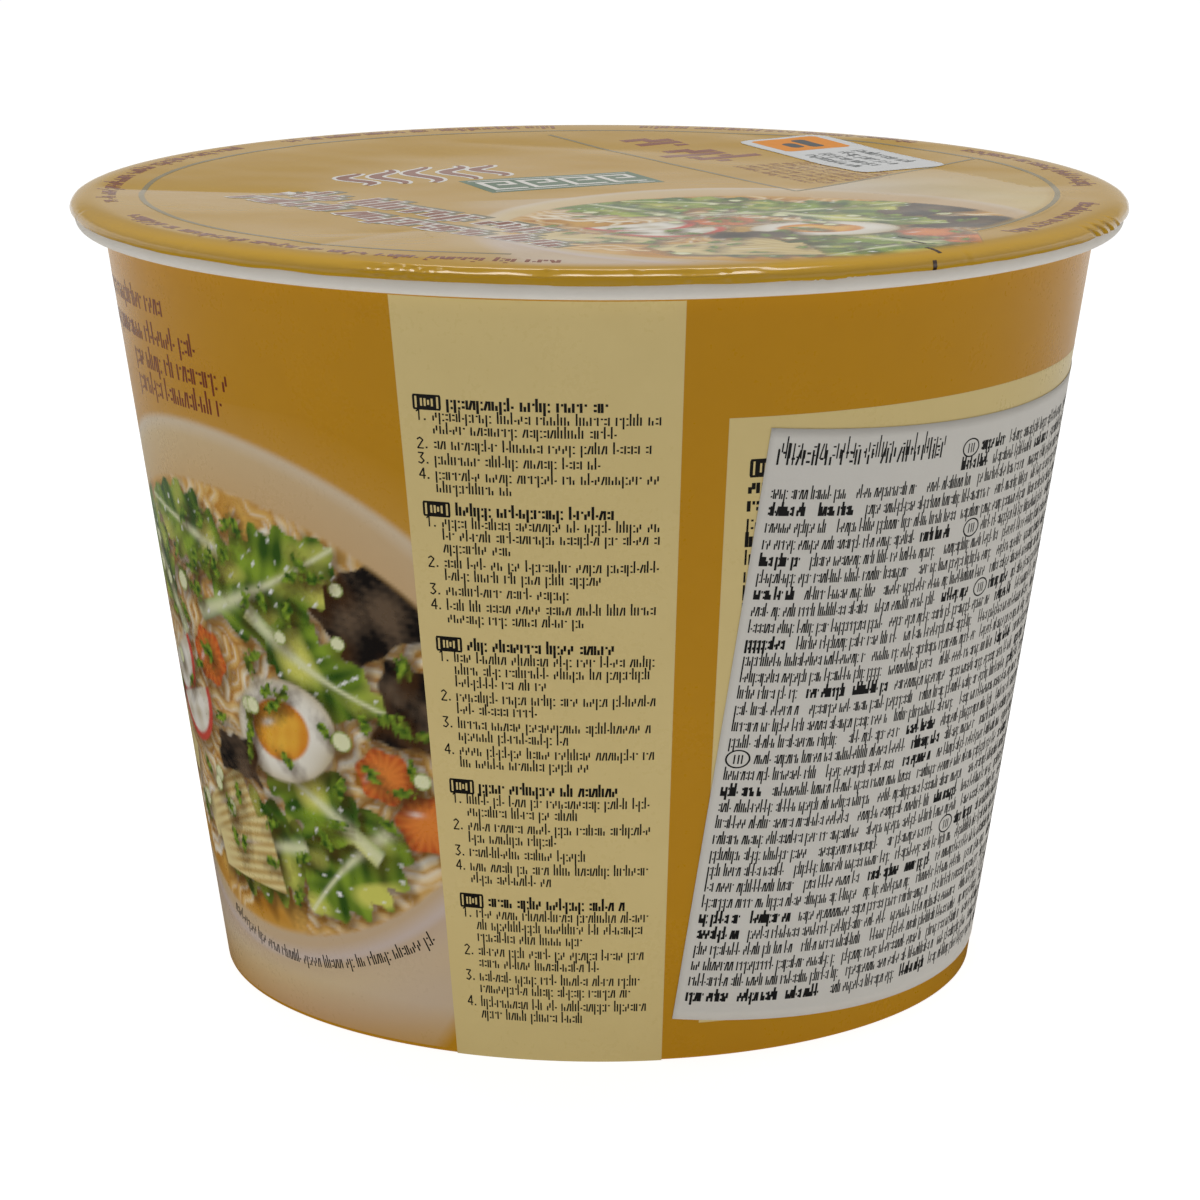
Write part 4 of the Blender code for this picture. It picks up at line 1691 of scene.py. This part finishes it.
# An oval tag, in millimetres: its half height, its line, how much wider it is than
# high, how far above the row its middle stands, and the places of its bars
OVAL_RADIUS, OVAL_LINE, OVAL_STRETCH, OVAL_RISE = 1.35, 0.2, 1.35, 0.7 * MM
OVAL_BARS, OVAL_BAR = (-0.5, 0.1, 0.6), (1.3 * MM, 0.22 * MM)


def oval(x, y):
    """place(u, v) for an oval ring line."""

    def place(u, v):
        ring = (OVAL_RADIUS - OVAL_LINE * v) * MM
        turn = math.tau * u
        return x + OVAL_STRETCH * ring * math.cos(turn), y - OVAL_RISE + ring * math.sin(turn)

    return place


def side_label():
    def place(column, row):
        across, down = column / LABEL_COLUMNS, row / LABEL_ROWS
        return label_point(LABEL_SIZE[0] * across, LABEL_SIZE[1] * down)

    mesh = skin("side_label_paper", LABEL_COLUMNS, LABEL_ROWS, place)
    label = finish_piece("side_label_paper", mesh, (label_white,), "side_label")
    thicken(label, LABEL_THICKNESS, 1.0)


# Runs of words in a row: the share of heavy ones, their length, the weights, the gap
# between runs, and the least room that starts one
HEAVY_SHARE, HEAVY_LENGTH = 0.16, 7.0 * MM
RUN_WEIGHT, HEAVY_RUN_WEIGHT, RUN_NARROW = 0.95, 1.5, 0.64
RUN_GAP, RUN_LEAST = 0.4 * MM, 4.0 * MM


def label_run(sheet, chance, x, y, end, lift):
    """Fills a line with words, some of them heavy."""
    while x < end - RUN_LEAST:
        run = min(chance.uniform(9.0, 26.0) * MM, end - x)
        heavy = RUN_WEIGHT
        if chance.random() < HEAVY_SHARE:
            run = min(run, HEAVY_LENGTH)
            heavy = HEAVY_RUN_WEIGHT
        mark_row(sheet, x, y, run, LABEL_MARK, lift, 0, chance, heavy, RUN_NARROW)
        x += run + RUN_GAP


# The heading: its length and size, the lines beside it and where they start, and its
# two coats, by how far each is raised, its weight and its width
LABEL_HEADING = (29.0 * MM, 2.1 * MM)
HEADING_LINES, BESIDE_HEADING = 2, 31.5 * MM
HEADING_COATS = ((0.0, 0.85, 0.9), (0.9 * MM, 0.6, 0.7))
LABEL_MARGIN, TAG_BEFORE, TAG_AFTER = 2.0 * MM, 2.0 * MM, 2.4 * MM


def side_label_marks():
    """A heading, then rows of narrow marks with some heavy words and oval tags."""
    chance = random.Random(71)
    sheet = Print(label_point, y_down=True)
    lift = LABEL_THICKNESS + LAYER
    for rise, heavy, narrow in HEADING_COATS:
        heading = (LABEL_LEFT, LABEL_TOP - rise, *LABEL_HEADING)
        mark_row(sheet, *heading, lift, 0, chance, heavy, narrow)
    for row in range(LABEL_LINES):
        y = LABEL_TOP + LABEL_PITCH * row
        start = LABEL_LEFT + (BESIDE_HEADING if row < HEADING_LINES else 0.0)
        if row in LABEL_TAGS:
            tag_x = LABEL_LEFT + LABEL_TAGS[row] * MM
            label_run(sheet, chance, start, y, tag_x - TAG_BEFORE, lift)
            sheet.patch(24, 1, oval(tag_x, y), lift)
            for step in OVAL_BARS:
                sheet.stroke(tag_x + step * MM, y, 0.0, *OVAL_BAR, lift)
            start = tag_x + TAG_AFTER
        label_run(sheet, chance, start, y, LABEL_SIZE[0] - LABEL_MARGIN, lift)
    sheet.make_piece("side_label_marks", "label_paper", label_black)


STICKER_THICKNESS = 0.05 * MM

# The sticker's blocks: cells each way, width, height, corner and middle in
# millimetres, layer and ink
STICKER_BLOCKS = (
    (16, (11.6, 11.4, 0.6, -11.8, 0.0), 1, 0),
    (8, (7.4, 2.4, 0.9, -11.8, 1.2), 2, 1),
    (8, (4.4, 2.2, 0.9, -10.9, -1.9), 2, 1),
)
STICKER_LINES, STICKER_TOP, STICKER_PITCH = 4, 3.6, 2.9
LINE_LEFT, LINE_LENGTH, LINE_SIZE, LINE_WEIGHT = -2.0 * MM, 16.0 * MM, 1.6 * MM, 1.3


def lid_sticker():
    sheet = Print(sticker_point)
    sheet.patch(60, 28, rounded(*STICKER_SIZE, STICKER_CORNER), 0.0)
    sticker = sheet.make_piece(
        "lid_sticker_paper", "sticker_paper", sticker_white, replaces="lid_sticker"
    )
    thicken(sticker, STICKER_THICKNESS, -1.0)

    chance = random.Random(83)
    marks = Print(sticker_point)
    for cells, shape, level, ink in STICKER_BLOCKS:
        place = rounded(*(value * MM for value in shape))
        marks.patch(cells, cells, place, level * LAYER, ink)
    for line in range(STICKER_LINES):
        y = (STICKER_TOP - STICKER_PITCH * line) * MM
        mark_row(marks, LINE_LEFT, y, LINE_LENGTH, LINE_SIZE, LAYER, 1, chance, LINE_WEIGHT)
    marks.make_piece("lid_sticker_marks", "sticker_paper", sticker_orange, sticker_dark)


# Camera, floor and light
CAMERA_DISTANCE = 619.2 * MM
CAMERA_ELEVATION = math.radians(13.087)
AIM_HEIGHT = 55.0 * MM
LENS = 127.4
DIP = math.radians(0.301)       # the camera looks a little below the aim
TURN = math.radians(0.017)
ROLL = math.radians(0.102)


def camera():
    data = bpy.data.cameras.new("camera")
    data.lens = LENS
    data.sensor_width = 36.0
    view = bpy.data.objects.new("camera", data)
    bpy.context.scene.collection.objects.link(view)
    away = CAMERA_DISTANCE * math.cos(CAMERA_ELEVATION)
    height = AIM_HEIGHT + CAMERA_DISTANCE * math.sin(CAMERA_ELEVATION)
    view.matrix_world = (
        Matrix.Translation((0.0, -away, height))
        @ Matrix.Rotation(-TURN, 4, "Z")
        @ Matrix.Rotation(math.pi / 2 - CAMERA_ELEVATION - DIP, 4, "X")
        @ Matrix.Rotation(ROLL, 4, "Z")
    )
    bpy.context.scene.camera = view


# How bright the floor looks in the bowl's gloss, near the bowl and far from it
FLOOR_NEAR, FLOOR_FAR = 0.03, 0.9
FLOOR_NEAR_TO, FLOOR_FAR_FROM = 0.20, 0.55
# Light added to what the camera sees of the floor
FLOOR_GLOW = 0.9
FLOOR_HALF_WIDTH = 6.0
# Light added to what the floor throws back, near the bowl and far from it
BOUNCE_NEAR, BOUNCE_FAR = 0.41, 0.12
BOUNCE_NEAR_TO, BOUNCE_FAR_FROM = 0.07, 0.26


def floor():
    """A pale sweep that looks nearly white and throws back a dimmer light."""
    size = FLOOR_HALF_WIDTH
    mesh = bpy.data.meshes.new("floor")
    corners = [(-size, -size, 0), (size, -size, 0), (size, size, 0), (-size, size, 0)]
    mesh.from_pydata(corners, [], [(0, 1, 2, 3)])
    piece = bpy.data.objects.new("floor", mesh)
    bpy.context.scene.collection.objects.link(piece)
    material = bpy.data.materials.new("pale_floor")
    material.use_nodes = True
    tree = material.node_tree
    tree.nodes.clear()
    matt = add(tree, "BsdfDiffuse", {"Color": colour("#e6e6e6")}).outputs[0]
    seen = add(tree, "BsdfDiffuse", {"Color": colour("#a6a6a6")}).outputs[0]
    glow = add(tree, "Emission", {"Strength": FLOOR_GLOW}).outputs[0]
    lit = add(tree, "AddShader", {0: seen, 1: glow}).outputs[0]
    place = add(tree, "NewGeometry").outputs["Position"]
    out = add(tree, "VectorMath", {0: place}, operation="LENGTH").outputs["Value"]

    def glow_by_distance(start, stop, near, far):
        limits = {"From Min": start, "From Max": stop, "To Min": near, "To Max": far}
        level = add(tree, "MapRange", {"Value": out, **limits}).outputs[0]
        return add(tree, "Emission", {"Strength": level}).outputs[0]

    mirrored = glow_by_distance(FLOOR_NEAR_TO, FLOOR_FAR_FROM, FLOOR_NEAR, FLOOR_FAR)
    bounce = glow_by_distance(BOUNCE_NEAR_TO, BOUNCE_FAR_FROM, BOUNCE_NEAR, BOUNCE_FAR)
    rays = add(tree, "LightPath").outputs
    brighter = add(tree, "AddShader", {0: matt, 1: bounce}).outputs[0]
    inputs = {0: rays["Is Glossy Ray"], 1: brighter, 2: mirrored}
    glossy = add(tree, "MixShader", inputs)
    inputs = {0: rays["Is Camera Ray"], 1: glossy.outputs[0], 2: lit}
    both = add(tree, "MixShader", inputs).outputs[0]
    add(tree, "OutputMaterial", {"Surface": both})
    mesh.materials.append(material)
    piece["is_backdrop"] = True


# The room's brightness by the sine of the height looked at, and how much lighter
# it is to either side than ahead
ROOM_LEVELS = ((0.0, 0.51), (0.12, 0.48), (0.20, 0.23), (0.42, 0.29), (1.0, 0.40))
ROOM_SIDES = 2.3
# The room throws this share of what it shows in a gloss
ROOM_THROWN = 0.5

# The room's light is a little warm: its green and blue as shares of its red
ROOM_GREEN, ROOM_BLUE = 0.975, 0.93


def soft_room():
    world = bpy.data.worlds.new("soft_room")
    bpy.context.scene.world = world
    world.use_nodes = True
    tree = world.node_tree
    tree.nodes.clear()
    way = add(tree, "TexCoord").outputs["Generated"]
    parts = add(tree, "SeparateXYZ", {0: way}).outputs
    ramp = add(tree, "ValToRGB", {"Fac": parts["Z"]})
    stops = ramp.color_ramp.elements
    while len(stops) < len(ROOM_LEVELS):
        stops.new(0.5)
    for stop, (position, level) in zip(stops, ROOM_LEVELS):
        stop.position = position
        stop.color = (level, level * ROOM_GREEN, level * ROOM_BLUE, 1.0)
    side = add(tree, "Math", {0: parts["X"], 1: parts["X"]}, operation="MULTIPLY")
    inputs = {0: side.outputs[0], 1: ROOM_SIDES, 2: 1.0}
    sides = add(tree, "Math", inputs, operation="MULTIPLY_ADD").outputs[0]
    rays = add(tree, "LightPath").outputs
    limits = {"To Min": ROOM_THROWN, "To Max": 1.0}
    share = add(tree, "MapRange", {"Value": rays["Is Glossy Ray"], **limits}).outputs[0]
    inputs = {0: sides, 1: share}
    strength = add(tree, "Math", inputs, operation="MULTIPLY").outputs[0]
    room = add(tree, "Background", {"Color": ramp.outputs["Color"], "Strength": strength})
    white = add(tree, "Background", {"Color": (1, 1, 1, 1), "Strength": 1.0})
    inputs = {0: rays["Is Camera Ray"], 1: room.outputs[0], 2: white.outputs[0]}
    both = add(tree, "MixShader", inputs).outputs[0]
    add(tree, "OutputWorld", {"Surface": both})


def softbox(name, place, size, power):
    """A soft lamp that faces the bowl."""
    lamp = bpy.data.lights.new(name, "AREA")
    lamp.shape = "RECTANGLE"
    lamp.size, lamp.size_y = size
    lamp.energy = power
    piece = bpy.data.objects.new(name, lamp)
    piece.location = place
    way = Vector((0.0, 0.0, AIM_HEIGHT)) - Vector(place)
    piece.rotation_euler = way.to_track_quat("-Z", "Y").to_euler()
    bpy.context.scene.collection.objects.link(piece)


def light():
    soft_room()
    softbox("overhead_softbox", (0.0, 0.10, 1.0), (0.70, 0.30), 5.6)
    softbox("front_softbox", (-0.20, -0.80, 0.85), (0.45, 0.16), 0.3)
    bpy.context.scene.view_settings.view_transform = "Standard"


camera()
floor()
light()
bowl_board()
base_disc()
peel_lid()
pull_tab()
panels()
instruction_marks()
second_panel_marks()
name_marks()
wall_pictures()
curved_marks()
lid_serving()
lid_plaque()
lid_title()
lid_brush()
lid_small_marks()
opening_dashes()
lid_frame()
lid_ring_marks()
side_label()
side_label_marks()
lid_sticker()

boxes = {"cad": cad_box, "visual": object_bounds()}
sizes = {name: [list(map(float, corner)) for corner in box] for name, box in boxes.items()}
